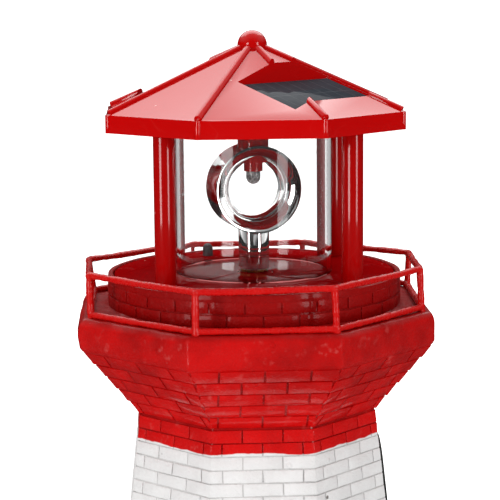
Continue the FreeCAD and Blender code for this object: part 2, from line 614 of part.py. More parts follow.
def battery_parts():
    cell = turned("battery", [
        ("0", "-cell_length / 2"), ("cell_radius", "-cell_length / 2"),
        ("cell_radius", "cell_length / 2 - nub_tall"), ("nub_radius", "cell_length / 2 - nub_tall"),
        ("nub_radius", "cell_length / 2"), ("0", "cell_length / 2")])
    cell.Placement.Rotation = Rotation(Vector(0, 1, 0), 90)
    put(cell, "cell_centre", 0, "cell_axis_z")
    foot, head = "cell_axis_z - cell_radius + contact_trim", "cell_axis_z + cell_radius - contact_trim"
    contact = block("battery_contact", "contact_thick", "end_wall_width - 2 * contact_trim", foot, head,
                    "positive_wall - contact_thick / 2")
    front, back = "negative_wall + spring_length", "negative_wall + spring_length - contact_thick"
    inner = "(leaf_crest - contact_thick / 2)"
    spring = slab("battery_spring", [
        ("negative_wall", foot), ("negative_wall + contact_thick", foot),
        ("negative_wall + contact_thick", "cell_axis_z - leaf_reach"),
        (front, "cell_axis_z - leaf_crest"), (front, "cell_axis_z + leaf_crest"),
        ("negative_wall + contact_thick", "cell_axis_z + leaf_reach"),
        ("negative_wall + contact_thick", head), ("negative_wall", head),
        ("negative_wall", "cell_axis_z + leaf_reach"), (back, "cell_axis_z + " + inner),
        (back, "cell_axis_z - " + inner), ("negative_wall", "cell_axis_z - leaf_reach")],
        "cell_radius", 0)
    cover_disc = rod("cover_disc", "can_radius", "can_bottom - cover_thick", "can_bottom")
    spigot_end = "can_bottom + spigot_tall + past"
    spigot = cut("cover_spigot", rod("spigot_out", "can_bore - seat_gap", "can_bottom - root",
                                     "can_bottom + spigot_tall"),
                 rod("spigot_in", "can_bore - seat_gap - can_wall", "can_bottom - past", spigot_end),
                 *[rod("spigot_relief_%d" % i, "boss_radius + seat_gap", "can_bottom - past",
                       spigot_end, x, y) for i, (x, y) in enumerate(COVER_SCREWS)])
    holes = []
    seat, under = "can_bottom - cover_thick + screw_head_thick / 2", "can_bottom - cover_thick - past"
    for i, (x, y) in enumerate(COVER_SCREWS):
        holes.append(rod("cover_hole_%d" % i, "screw_radius + seat_gap", under, "can_bottom + past", x, y))
        holes.append(rod("cover_recess_%d" % i, "screw_head + seat_gap", under, seat, x, y))
    cover = cut("battery_cover", fuse("cover_solid", cover_disc, spigot), *holes)
    return [cell, contact, spring, cover,
            screws("battery_cover_screws", COVER_SCREWS, seat, "screw_length", True)]


def motor_parts():
    case = rod("motor_case", "motor_radius", "motor_top - motor_tall", "motor_top")
    ears = [block("motor_ear_arm", "2 * motor_ear_circle", "2 * motor_boss_radius",
                  "motor_top - motor_ear_thick", "motor_top")]
    ears += [rod("motor_ear_%d" % i, "motor_boss_radius", "motor_top - motor_ear_thick", "motor_top",
                 x, y) for i, (x, y) in enumerate(MOTOR_SCREWS)]
    nose = rod("motor_nose", "nose_radius", "motor_top - root", "motor_top + nose_tall")
    terminals = [block("motor_terminal_%d" % i, "terminal_wide", "terminal_thick",
                       "motor_top - motor_tall - terminal_tall", "motor_top - motor_tall + root",
                       "%d * motor_radius / 2" % i) for i in (-1, 1)]
    holes = [rod("motor_ear_hole_%d" % i, "screw_radius + seat_gap", "motor_top - motor_ear_thick - past",
                 "motor_top + past", x, y) for i, (x, y) in enumerate(MOTOR_SCREWS)]
    holes.append(rod("motor_bore", "shaft_radius + running_gap", "motor_top - motor_tall / 2",
                     "motor_top + nose_tall + past"))
    motor = cut("motor", fuse("motor_solid", case, nose, *ears, *terminals), *holes)
    return [motor, screws("motor_screws", MOTOR_SCREWS, "motor_top - motor_ear_thick",
                          "short_screw", True)]


def control_board():
    top, right, rear = "board_z + board_thick", "board_long / 4", "board_wide / 4"
    card = block("board_card", "board_long", "board_wide", "board_z", top)
    foot = top + " - board_thick / 2"
    chip = block("board_chip", "chip_long", "chip_wide", foot, top + " + chip_tall",
                 "-" + right, "-" + rear)
    plug = block("board_plug", "plug_long", "plug_wide", foot, top + " + plug_tall", right, "-" + rear)
    coil = rod("board_coil", "coil_radius", foot, top + " + coil_tall", "-" + right, rear)
    store = rod("board_store", "store_radius", foot, top + " + store_tall", right, rear)
    return fuse("control_board", card, chip, plug, coil, store)


def push_switch():
    housing = block("switch_block", "switch_side", "switch_side", "floor_under - switch_tall",
                    "floor_under", "button_x", "button_y")
    well = rod("switch_well", "button_flange + slide_gap", "floor_under - recess_depth",
               "floor_under + past", "button_x", "button_y")
    legs = [block("switch_leg_%d" % i, "terminal_thick", "terminal_wide",
                  "floor_under - switch_tall - terminal_tall", "floor_under - switch_tall + root",
                  "button_x + %d * switch_side / 4" % i, "button_y") for i in (-1, 1)]
    body = cut("switch_body", fuse("switch_solid", housing, *legs), well)
    dome = "floor_top + button_proud - button_radius"
    button = turned("button_cap", [
        ("0", "flange_top - button_flange_thick"), ("button_flange", "flange_top - button_flange_thick"),
        ("button_flange", "flange_top"), ("button_radius", "flange_top"), ("button_radius", dome),
        ("0", dome + " + button_radius")], {4: ("0", dome)})
    put(button, "button_x", "button_y", 0)
    return [body, button]


def lantern_uprights():
    tube = turned("glass_tube", tube_section("tube_radius - tube_wall", "tube_radius",
                                             "floor_top", "ceiling_under"))
    pillars = group("pillars", [
        cut("pillar_%d" % i, rod("pillar_rod_%d" % i, "pillar_radius", "floor_top", "ceiling_under", x, y),
            rod("pillar_core_%d" % i, "pillar_bore", "floor_top - past", "ceiling_under + past", x, y))
        for i, (x, y) in enumerate(PILLARS)])
    low = screws("pillar_screws_low", PILLARS, "floor_under + screw_head_thick + seat_gap",
                 "screw_length", True)
    high = screws("pillar_screws_top", PILLARS, "ceiling_top", "screw_length", False)
    return [tube, pillars, group("pillar_screws", [low, high])]


# --- roof --------------------------------------------------------------------------------------
def pocket_outline(inner, outer, drop):
    """Side view of a solar pocket: a floor parallel to the panel and open above the roof."""
    def floor_at(distance):
        return "panel_inner_z - ((%s) - pocket_inner) * panel_slope - (%s)" % (distance, drop)
    above = "roof_apex + 2 * ball_radius"
    return [(inner, floor_at(inner)), (outer, floor_at(outer)), (outer, above), (inner, above)]


def hip_rib(name, angle):
    """Half-round rib along one hip, from the ball to the eave corner."""
    item = add("Part::Cylinder", name)
    slope = math.degrees(math.atan(number("hip_slope")))
    item.Placement.Rotation = Rotation(Vector(0, 0, 1), angle) * Rotation(Vector(0, 1, 0), 90 + slope)
    reach = "roof_radius - bead_radius"
    bind(item, Radius="rib_radius", Height="(%s) * sqrt(1 + hip_slope^2)" % reach)
    return put(item, z="roof_apex")


def roof_shell():
    outside = stack("roof_outside", [("roof_radius", "roof_bottom"), ("roof_radius", "eave_top"),
                                     ("roof_tip", "roof_apex - roof_tip * hip_slope")])
    inside = stack("roof_inside", [
        ("roof_inner", "roof_bottom - past"),
        ("roof_inner", "eave_top + (roof_radius - roof_inner) * hip_slope - roof_drop"),
        ("roof_tip", "roof_apex - roof_drop")])
    ribs = [hip_rib("hip_rib_%d" % i, a) for i, a in enumerate(CORNERS)]
    beads = [rod("corner_bead_%d" % i, "bead_radius", "roof_bottom", "eave_top",
                 *around("roof_radius - bead_inset", a)) for i, a in enumerate(CORNERS)]
    ball = add("Part::Sphere", "roof_ball")
    bind(ball, Radius="ball_radius")
    put(ball, z="ball_height")
    tubs, pockets = [], []
    for name, yaw in (("front", 315), ("rear", 135)):
        tubs.append(slab("tub_" + name, pocket_outline(
            "pocket_inner - roof_wall", "pocket_outer + roof_wall", "panel_drop + pocket_floor"),
            "pocket_width + 2 * roof_wall", yaw))
        pockets.append(slab("pocket_" + name, pocket_outline("pocket_inner", "pocket_outer", "panel_drop"),
                            "pocket_width", yaw))
    bosses = [rod("roof_boss_%d" % i, "roof_boss_radius", "ceiling_top", "eave_top + roof_boss_rise", x, y)
              for i, (x, y) in enumerate(ROOF_SCREWS)]
    pilots = [rod("roof_pilot_%d" % i, "screw_radius", "ceiling_top - past",
                  "ceiling_under + short_screw + root", x, y)
              for i, (x, y) in enumerate(ROOF_SCREWS)]
    skin = cut("roof_skin", outside, inside)
    inner_parts = common("roof_inner_parts", fuse("roof_additions", *tubs, *bosses), outside)
    return cut("roof_shell", fuse("roof_solid", skin, inner_parts, ball, *ribs, *beads),
               *pockets, *pilots)


def solar_panel(name, yaw):
    """Flat cell plate that lies on the sloping floor of its pocket."""
    body = add("PartDesign::Body", name)
    across = "(pocket_width / 2 - seat_gap)"
    along = "(pocket_long / 2 * sqrt(1 + panel_slope^2) - panel_thick * panel_slope - seat_gap)"
    corners = [("-" + along, "-" + across), (along, "-" + across), (along, across), ("-" + along, across)]
    pad = body.newObject("PartDesign::Pad", name + "_plate")
    pad.Profile = outline(body, name + "_outline", corners, role="XY_Plane")
    pad.Reversed = True
    bind(pad, Length="panel_thick")
    slope = math.degrees(math.atan(number("panel_slope")))
    body.Placement.Rotation = Rotation(Vector(0, 0, 1), yaw) * Rotation(Vector(0, 1, 0), slope)
    x, y = around("(pocket_inner + pocket_outer) / 2", yaw)
    return put(body, x, y, "(panel_inner_z + panel_outer_z) / 2")


def roof_ceiling():
    plate = stack("ceiling_plate", [("roof_inner - slide_gap", "ceiling_under"),
                                    ("roof_inner - slide_gap", "ceiling_top")])
    boss = rod("led_boss", "led_boss_radius", "led_boss_bottom", "ceiling_under + root")
    lip = cut("tube_lip", rod("lip_out", "tube_radius + seat_gap + lip_wall", "ceiling_under - lip_tall",
                              "ceiling_under + root"),
              rod("lip_in", "tube_radius + seat_gap", "ceiling_under - lip_tall - past",
                  "ceiling_under + past"))
    holes = [rod("wire_bore", "led_boss_radius / 2", "led_boss_bottom - past", "ceiling_top + past"),
             rod("holder_seat", "holder_radius + seat_gap", "led_boss_bottom - past",
                 "holder_top + seat_gap")]
    holes += [rod("ceiling_hole_%d" % i, "screw_radius + seat_gap", "ceiling_under - past",
                  "ceiling_top + past", x, y) for i, (x, y) in enumerate(PILLARS + ROOF_SCREWS)]
    return cut("roof_ceiling", fuse("ceiling_solid", plate, boss, lip), *holes)


def light_parts():
    holder = turned("led_holder", [
        ("led_radius + running_gap", "holder_bottom"), ("holder_radius", "holder_bottom"),
        ("holder_radius", "holder_top"), ("lead_spread + 2 * lead_radius", "holder_top"),
        ("lead_spread + 2 * lead_radius", "led_base + seat_gap"),
        ("led_radius + running_gap", "led_base + seat_gap")])
    lens = turned("led_lens", [("0", "led_tip"), ("led_radius", "led_tip + led_radius"),
                               ("led_radius", "led_base"), ("0", "led_base")],
                  {0: ("0", "led_tip + led_radius")})
    leads = [rod("led_lead_%d" % i, "lead_radius", "led_base - root", "lead_top", "%d * lead_spread" % i)
             for i in (-1, 1)]
    return [holder, fuse("led", lens, *leads)]


# --- reflector: ring, stem and shaft turn together ---------------------------------------------
def reflector_parts():
    half = "ring_length / 2"
    # the bore is an hourglass: one arc from mouth to mouth that is tangent to the throat
    flare = "((ring_mouth - ring_throat)^2 + (ring_length / 2)^2) / (2 * (ring_mouth - ring_throat))"
    centre = ("ring_throat + " + flare, "0")
    blank = turned("ring_blank", [("ring_mouth", "-" + half), ("ring_radius", "-" + half),
                                  ("ring_radius", half), ("ring_mouth", half), ("ring_throat", "0")],
                   {3: centre, 4: centre})
    facing = Rotation(Vector(0, 0, 1), number("ring_yaw")) * Rotation(Vector(1, 0, 0), 90)
    blank.Placement.Rotation = facing
    put(blank, z="ring_height")
    boss_hole = rod("ring_boss_hole", "led_boss_radius + boss_hole_gap", "ring_height + ring_throat / 3",
                    "ring_height + ring_radius + past")
    ring = cut("reflector_ring", blank, boss_hole)
    cope = add("Part::Cylinder", "stem_cope")
    cope.Placement.Rotation = facing
    bind(cope, Radius="ring_radius", Height="2 * ring_length")
    put(cope, "-ring_length * sin(ring_yaw)", "ring_length * cos(ring_yaw)", "ring_height")
    stem = cut("reflector_stem", rod("stem_rod", "stem_radius", "stem_foot", "ring_height"), cope,
               rod("stem_bore", "shaft_radius + press_gap", "stem_foot - past",
                   "ring_height - ring_radius - stem_web"))
    shaft = rod("drive_shaft", "shaft_radius", "motor_top - motor_tall / 2 + slide_gap",
                "ring_height - ring_radius - stem_web - seat_gap")
    bush = turned("shaft_bush", [
        ("shaft_radius + running_gap", "floor_under"), ("bush_radius", "floor_under"),
        ("bush_radius", "floor_top"), ("bush_flange", "floor_top"),
        ("bush_flange", "floor_top + bush_flange_thick"),
        ("shaft_radius + running_gap", "floor_top + bush_flange_thick")])
    return [ring, stem, shaft, bush]


PIECES = [tower_casting(), *railing(), *base_parts(), lantern_floor(), machinery_can(),
          screws("can_screws", CAN_SCREWS, "boss_under - ear_thick", "screw_length", True),
          *battery_parts(), *motor_parts(), control_board(), *push_switch(), *lantern_uprights(),
          roof_shell(), roof_ceiling(), solar_panel("solar_panel_front", 315),
          solar_panel("solar_panel_rear", 135),
          screws("roof_screws", ROOF_SCREWS, "ceiling_under", "short_screw", True),
          *light_parts(), *reflector_parts()]

doc.recompute()
for item in doc.Objects:
    if "Invalid" in item.State or "Error" in item.State:
        raise RuntimeError("%s did not build: %s" % (item.Label, item.State))
for piece in PIECES:
    if piece.Shape.isNull() or not piece.Shape.isValid():
        raise RuntimeError(piece.Label + " has no sound shape")

os.makedirs("parts", exist_ok=True)
for piece in PIECES:
    piece.Shape.exportStep("parts/%s.step" % piece.Label)
    print("%-22s solids %2d  volume %10.1f" % (piece.Label, len(piece.Shape.Solids), piece.Shape.Volume))
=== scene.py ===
# %% [markdown]
# # A garden lighthouse ornament, dressed around its construction
# The construction model holds every part at its real size. This lesson gives those parts their
# looks: cast and hand-painted brickwork, a lumpy welded railing, glossy moulded plastic, a chrome
# reflector and a clear tube. Everything is in metres, in the construction model's own frame:
# the origin is the middle of the base, +Z is up and the front looks along -Y.

# %% load the frame
import bmesh
import bpy
import json
import math
from mathutils import Matrix, Vector, noise

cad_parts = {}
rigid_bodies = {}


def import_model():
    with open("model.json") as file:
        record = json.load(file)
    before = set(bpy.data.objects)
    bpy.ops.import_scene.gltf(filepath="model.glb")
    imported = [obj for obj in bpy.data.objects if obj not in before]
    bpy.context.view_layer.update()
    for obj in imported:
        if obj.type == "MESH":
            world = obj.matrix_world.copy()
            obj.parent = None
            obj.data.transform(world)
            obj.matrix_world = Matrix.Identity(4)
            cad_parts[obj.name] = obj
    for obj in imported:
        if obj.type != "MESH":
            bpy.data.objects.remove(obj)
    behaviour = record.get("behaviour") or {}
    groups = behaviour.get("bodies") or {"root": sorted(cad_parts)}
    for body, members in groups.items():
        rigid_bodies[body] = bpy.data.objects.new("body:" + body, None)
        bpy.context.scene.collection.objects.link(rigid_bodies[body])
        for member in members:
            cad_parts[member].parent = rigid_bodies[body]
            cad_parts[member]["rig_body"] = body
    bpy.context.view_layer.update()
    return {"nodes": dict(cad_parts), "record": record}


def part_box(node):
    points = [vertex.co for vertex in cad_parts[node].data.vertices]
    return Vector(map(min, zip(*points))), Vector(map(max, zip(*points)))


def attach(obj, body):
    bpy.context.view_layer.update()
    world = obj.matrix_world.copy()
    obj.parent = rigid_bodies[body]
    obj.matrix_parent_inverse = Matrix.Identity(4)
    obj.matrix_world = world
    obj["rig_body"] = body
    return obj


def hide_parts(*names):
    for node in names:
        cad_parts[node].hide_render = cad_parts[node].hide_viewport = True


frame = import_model()
scene = bpy.context.scene
MM = 0.001
SIDES = 8
EIGHTH = 2 * math.pi / SIDES
FLAT = math.cos(EIGHTH / 2)  # from an octagon's corner radius to its flat
noise.seed_set(7)  # noise_vector starts from the clock unless it is given a seed

# %% [markdown]
# ## The camera
# The photograph was taken from a little above the gallery with a long lens. Its corners of the
# roof and gallery, both regular octagons, fix the distance, the height and the turn of the
# camera. A slight roll and a shift of a few pixels finish the framing.

# %% camera
VIEW_TURN, VIEW_RISE, VIEW_ROLL = (math.radians(v) for v in (-3.3, 8.85, -0.48))
VIEW_DISTANCE = 600 * MM
LOOK_AT = Vector((0, 0, 285.3 * MM))
FOCAL_PIXELS, FRAME_PIXELS = 1754, 500
AXIS_PIXEL = 253.9  # where the tower's axis crosses the frame


def outward(turn, rise):
    """Unit vector from the axis, turned from the front and raised, in radians."""
    return Vector((math.sin(turn) * math.cos(rise), -math.cos(turn) * math.cos(rise),
                   math.sin(rise)))


def aimed(name, data, out, distance):
    """A camera or light that looks back at the lantern."""
    item = bpy.data.objects.new(name, data)
    scene.collection.objects.link(item)
    item.location = LOOK_AT + out * distance
    item.rotation_mode = "QUATERNION"
    item.rotation_quaternion = out.to_track_quat("Z", "Y")
    return item


def make_camera():
    data = bpy.data.cameras.new("camera")
    data.sensor_width = 36
    data.lens = data.sensor_width * FOCAL_PIXELS / FRAME_PIXELS
    data.shift_x = (FRAME_PIXELS / 2 - AXIS_PIXEL) / FRAME_PIXELS
    data.clip_start = 0.01
    camera = aimed("camera", data, outward(VIEW_TURN, VIEW_RISE), VIEW_DISTANCE)
    camera.rotation_quaternion @= Matrix.Rotation(VIEW_ROLL, 3, "Z").to_quaternion()
    scene.camera = camera
    return camera


camera = make_camera()
print("camera at", tuple(round(v, 3) for v in camera.location), "lens", round(camera.data.lens, 1))

# %% [markdown]
# ## Arithmetic on node sockets
# Node trees with many sums are hard to read as boxes and wires. One small class lets a socket be
# added, multiplied and compared like a number; another adds nodes and feeds their inputs by
# name. Both work in shader trees and in geometry trees.


# %% socket arithmetic
class Flow:
    """What flows out of a socket: mostly a number that takes part in sums."""

    def __init__(self, tree, socket):
        self.tree, self.socket = tree, socket

    def math(self, operation, *others):
        node = self.tree.nodes.new("ShaderNodeMath")
        node.operation = operation
        for value, socket in zip((self, *others), node.inputs):
            plug(self.tree, value, socket)
        return Flow(self.tree, node.outputs[0])

    def __add__(self, other):
        return self.math("ADD", other)

    def __sub__(self, other):
        return self.math("SUBTRACT", other)

    def __mul__(self, other):
        return self.math("MULTIPLY", other)

    def __truediv__(self, other):
        return self.math("DIVIDE", other)

    def above(self, other):
        return self.math("GREATER_THAN", other)

    def below(self, other):
        return self.math("LESS_THAN", other)

    def flipped(self):
        """1 minus the number."""
        return self * -1 + 1

    def ramp(self, low, high):
        """0 at low, 1 at high, straight between."""
        node = self.tree.nodes.new("ShaderNodeMapRange")
        for name, value in (("Value", self), ("From Min", low), ("From Max", high)):
            plug(self.tree, value, node.inputs[name])
        return Flow(self.tree, node.outputs["Result"])


def plug(tree, value, socket):
    """Feeds a flow, a socket or a plain value into an input."""
    value = value.socket if isinstance(value, Flow) else value
    if isinstance(value, bpy.types.NodeSocket):
        tree.links.new(value, socket)
    else:
        socket.default_value = value


class Maker:
    """Adds nodes to one tree."""

    def __init__(self, tree):
        self.tree = tree

    def add(self, kind, settings=None, **inputs):
        """A node with its settings made and its inputs fed by name."""
        node = self.tree.nodes.new(kind)
        for key, value in (settings or {}).items():
            setattr(node, key, value)
        for key, value in inputs.items():
            plug(self.tree, value, node.inputs[key.replace("_", " ")])
        return node

    def flow(self, kind, output=0, settings=None, **inputs):
        """What flows out of a new node."""
        return Flow(self.tree, self.add(kind, settings, **inputs).outputs[output])

    def combine(self, x, y, z):
        return self.flow("ShaderNodeCombineXYZ", X=x, Y=y, Z=z)

    def split(self, vector):
        parts = self.add("ShaderNodeSeparateXYZ", Vector=vector)
        return [Flow(self.tree, part) for part in parts.outputs]

    def vector(self, operation, first, second):
        """Arithmetic on a vector and a fixed one."""
        node = self.add("ShaderNodeVectorMath", {"operation": operation}, Vector=first)
        node.inputs[1].default_value = second
        return Flow(self.tree, node.outputs[0])


print("socket arithmetic ready")

# %% [markdown]
# ## Shared surface effects
# Three effects turn up in most finishes, so each is a node group with named inputs. *Speckle*
# scatters small flaws and dust. *Orange peel* is the faint wave that thick gloss paint and
# moulded plastic both show in a reflection. *Scuffs* are fine hairlines that catch the light.


# %% shader groups
class Pattern(Maker):
    """A shader tree whose patterns lie on Object coordinates, so that they ride with the piece."""

    def __init__(self, tree):
        super().__init__(tree)
        self.here = tree.nodes.new("ShaderNodeTexCoord").outputs["Object"]

    def noise(self, scale, detail=2.0, rough=0.5, where=None):
        return self.flow("ShaderNodeTexNoise", "Fac", Vector=where or self.here, Scale=scale,
                         Detail=detail, Roughness=rough)


class Effect(Pattern):
    """A shader node group with number inputs and one number output."""

    def __init__(self, name, output, **inputs):
        super().__init__(bpy.data.node_groups.new(name, "ShaderNodeTree"))
        sockets = self.tree.interface
        for title, value in inputs.items():
            item = sockets.new_socket(title, in_out="INPUT", socket_type="NodeSocketFloat")
            item.default_value = value
        sockets.new_socket(output, in_out="OUTPUT", socket_type="NodeSocketFloat")
        entry = self.tree.nodes.new("NodeGroupInput")
        self.inputs = [Flow(self.tree, entry.outputs[title]) for title in inputs]

    def give(self, value):
        plug(self.tree, value, self.tree.nodes.new("NodeGroupOutput").inputs[0])
        return self.tree


def speckle_group():
    """Small round flaws: Density from 0, none, to 1, many; Size is how many fit in a metre."""
    effect = Effect("speckle", "Mask", Size=400, Density=0.1)
    size, density = effect.inputs
    cells = effect.add("ShaderNodeTexVoronoi", Vector=effect.here, Scale=size)
    lot = effect.flow("ShaderNodeTexWhiteNoise", "Value", Vector=cells.outputs["Position"])
    spot = Flow(effect.tree, cells.outputs["Distance"]).ramp(0.22, 0.12)
    return effect.give(lot.below(density) * spot)


def peel_group():
    """A faint rolling height, large waves plus small ones."""
    effect = Effect("orange_peel", "Height", Scale=500, Fine=0.3)
    scale, fine = effect.inputs
    return effect.give(effect.noise(scale, 1.0) + effect.noise(scale * 5) * fine)


def scuff_group():
    """Short hairlines in many directions."""
    effect = Effect("scuffs", "Mask", Scale=60, Amount=0.5)
    scale, amount = effect.inputs
    warped = effect.flow("ShaderNodeTexNoise", "Color", Vector=effect.here, Scale=scale * 0.5)
    bent = effect.flow("ShaderNodeMixRGB", Fac=0.08, Color1=effect.here, Color2=warped)
    lines = effect.flow("ShaderNodeTexWave", "Fac", Vector=bent, Scale=scale, Distortion=14.0,
                        Detail=3.0)
    return effect.give(lines.ramp(0.985, 1.0) * effect.noise(scale).ramp(0.5, 0.62) * amount)


SPECKLE, PEEL, SCUFFS = speckle_group(), peel_group(), scuff_group()
print("groups", [g.name for g in (SPECKLE, PEEL, SCUFFS)])


# %% material kit
class Finish(Pattern):
    """One material: its tree, its Principled shader and the shared effects within reach."""

    def __init__(self, name, **constants):
        self.material = bpy.data.materials.new(name)
        self.material.use_nodes = True
        super().__init__(self.material.node_tree)
        self.shader = self.tree.nodes["Principled BSDF"]
        self.feed(**constants)

    def group(self, group, **inputs):
        return self.flow("ShaderNodeGroup", settings={"node_tree": group}, **inputs)

    def height(self):
        return self.split(self.here)[2]

    def radius(self):
        """Distance from the upright axis."""
        across, along, _ = self.split(self.here)
        return (across * across + along * along).math("SQRT")

    def mix(self, amount, first, second):
        node = self.add("ShaderNodeMix", {"data_type": "RGBA"})
        for value, socket in ((amount, 0), (first, 6), (second, 7)):
            plug(self.tree, value, node.inputs[socket])
        return node.outputs[2]

    def feed(self, **inputs):
        for key, value in inputs.items():
            plug(self.tree, value, self.shader.inputs[key.replace("_", " ")])
        return self

    def bump(self, height, depth, strength):
        """Surface relief, with its depth in mm."""
        return self.feed(Normal=self.flow("ShaderNodeBump", Height=height, Distance=depth * MM,
                                          Strength=strength))


def tone(red, green, blue):
    return (red, green, blue, 1)


def grey(value):
    return tone(value, value, value)


print("finish kit ready")

# %% [markdown]
# ## The paints
# The casting is painted by hand: white bands and red bands that meet in a slightly wavy line. One
# finish reads the height and picks the paint, so a brick that crosses the line gets both. The
# wall between the bricks gets the same paint but darker, because dust settles in the joints.

# %% painted casting
RED_PAINT, RED_DEEP = tone(0.54, 0.002, 0.002), tone(0.36, 0.001, 0.001)
# the first red below is lighter: painted light that lifts the shade under the corbel
RED_PAINTED_LIFT, RED_CHALK = tone(0.80, 0.003, 0.003), tone(0.62, 0.12, 0.11)
# the second red below darkens the deck: partly dirt, partly painted shade
RED_JOINT, RED_DECK_DIRT_AND_SHADE = tone(0.24, 0.001, 0.001), tone(0.25, 0.001, 0.001)
WHITE_PAINT, WHITE_WORN = tone(0.78, 0.775, 0.77), tone(0.71, 0.70, 0.695)
WHITE_JOINT, DIRT = tone(0.55, 0.54, 0.53), tone(0.18, 0.16, 0.15)
BAND_EDGES = [26, 92, 158, 225]  # mm: red foot, white, red, white, red top
BAND_BLUR = 0.15  # mm, half the width of a painted edge
DECK_Z = 267.3  # mm: the gallery floor; above it the red is darker: dirt and painted shade
CURB_INSIDE = 48.7  # mm: the curb's wall within this radius is not polished


def band_mask(finish):
    """1 in the red bands and 0 in the white ones, with a hand-painted edge."""
    wobble = finish.noise(45) * (2.2 * MM) - 1.1 * MM + finish.noise(260, 1.0) * (0.8 * MM)
    height = finish.height() + wobble
    first, *others = [height.ramp((edge - BAND_BLUR) * MM, (edge + BAND_BLUR) * MM)
                      for edge in BAND_EDGES]
    red = first.flipped()
    for step, sign in zip(others, (1, -1, 1)):
        red = red + step * sign
    return red


def cast_paint():
    """Brush paint on cast resin; dust darkens it where the mesh attribute "joint" says mortar."""
    finish = Finish("cast_paint", Coat_Roughness=0.12, Specular_IOR_Level=0.08)
    patches = (finish.noise(38) * 0.6 + finish.noise(150, 4.0) * 0.4).ramp(0.40, 0.62)
    red = finish.mix(patches, RED_PAINT, RED_DEEP)
    painted_lift = finish.height().ramp(258 * MM, 236 * MM)  # painted light: a lighter red below the corbel that lifts the corbel's shade
    red = finish.mix(painted_lift * 0.35, red, RED_PAINTED_LIFT)
    chalk = finish.noise(330, 4.0, 0.6).ramp(0.58, 0.70) * finish.noise(60).ramp(0.42, 0.6)
    red = finish.mix(chalk * 0.35, red, RED_CHALK)
    white = finish.mix(patches, WHITE_PAINT, WHITE_WORN)
    white = finish.mix(finish.group(SPECKLE, Size=260, Density=0.03), white, DIRT)
    white = finish.mix(finish.group(SPECKLE, Size=90, Density=0.012), white, RED_PAINT)
    joint = finish.flow("ShaderNodeAttribute", "Fac", {"attribute_name": "joint"})
    dust = joint * (finish.noise(180) * 0.8 + 0.25)
    red = finish.mix(dust, red, RED_JOINT)
    white = finish.mix(dust, white, WHITE_JOINT)
    # darker red on the deck and curb: partly dirt, partly painted shade of the roof, lantern and
    # rails
    gallery = finish.height().ramp((DECK_Z - 2.0) * MM, DECK_Z * MM)
    red = finish.mix(gallery * 0.8, red, RED_DECK_DIRT_AND_SHADE)
    mask = band_mask(finish)
    inner = gallery * finish.radius().below(CURB_INSIDE * MM)
    shine = finish.noise(110).ramp(0.3, 0.65) * (gallery * -0.45 + 0.75) * inner.flipped()
    finish.feed(Base_Color=finish.mix(mask, white, red), Coat_Weight=mask * shine,
                Roughness=mask * -0.1 + 0.5 + finish.noise(300) * 0.1)
    peel = finish.group(PEEL, Scale=260, Fine=0.4)
    lumps = finish.group(SPECKLE, Size=210, Density=0.2)
    return finish.bump(peel + finish.noise(1500) * 0.25 + lumps * 0.5, 0.8, 0.65).material


CAST_PAINT = cast_paint()
print("paint bands at", BAND_EDGES, "mm")


# %% moulded plastic and rail paint
def gloss_red(name, red, roughness, peel_depth, gloss=0.5):
    """Glossy moulded red plastic with faint handling marks."""
    finish = Finish(name, Coat_Weight=0.15, Coat_Roughness=0.05, Specular_IOR_Level=gloss)
    scuffs = finish.group(SCUFFS, Scale=55, Amount=0.12)
    dust = finish.group(SPECKLE, Size=500, Density=0.006)
    worn = finish.mix(scuffs, red, tone(0.60, 0.06, 0.05))
    finish.feed(Base_Color=finish.mix(dust, worn, tone(0.75, 0.35, 0.32)),
                Roughness=finish.noise(120) * 0.05 + scuffs * 0.2 + roughness)
    return finish.bump(finish.group(PEEL, Scale=130, Fine=0.1), peel_depth, 0.35)


def floor_red():
    """The lantern floor: glossy under the tube that shields it, dulled by weather outside."""
    finish = gloss_red("floor_red", tone(0.30, 0.001, 0.002), 0.3, 0.08, 0.0)
    shielded = finish.radius().ramp(31 * MM, 29 * MM)
    return finish.feed(Coat_Weight=shielded * 0.22 + finish.noise(90) * 0.12).material


def thick_paint():
    """Dipped paint on wire: very glossy, with runs and lumps."""
    finish = Finish("rail_paint", Coat_Weight=0.3, Coat_Roughness=0.08, Specular_IOR_Level=0.2)
    thin = finish.noise(400).ramp(0.4, 0.7)
    finish.feed(Base_Color=finish.mix(thin, tone(0.56, 0.004, 0.003), RED_PAINT),
                Roughness=finish.noise(900) * 0.15 + 0.2)
    return finish.bump(finish.noise(900, 3.0), 0.5, 0.7).material


ROOF_RED = gloss_red("moulded_red", tone(0.50, 0.001, 0.001), 0.07, 0.12).material
POST_RED = gloss_red("pillar_red", tone(0.37, 0.001, 0.001), 0.09, 0.05).material
FLOOR_RED, RAIL_PAINT = floor_red(), thick_paint()
print("red finishes ready")


# %% metals, glass and small finishes
FLOOR_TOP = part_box("glass_tube")[0].z  # where the tube stands and the painted floor reflection starts


def chrome():
    """Mirror plating with a faint haze of handling."""
    finish = Finish("chrome_plate", Metallic=1.0)
    haze = finish.noise(60, 3.0).ramp(0.45, 0.75)
    scuffs = finish.group(SCUFFS, Scale=90, Amount=0.3)
    finish.feed(Base_Color=finish.mix(haze, grey(0.86), grey(0.72)),
                Roughness=haze * 0.06 + 0.03 + scuffs * 0.2)
    return finish.bump(finish.group(PEEL, Scale=160, Fine=0.15), 0.10, 0.35).material


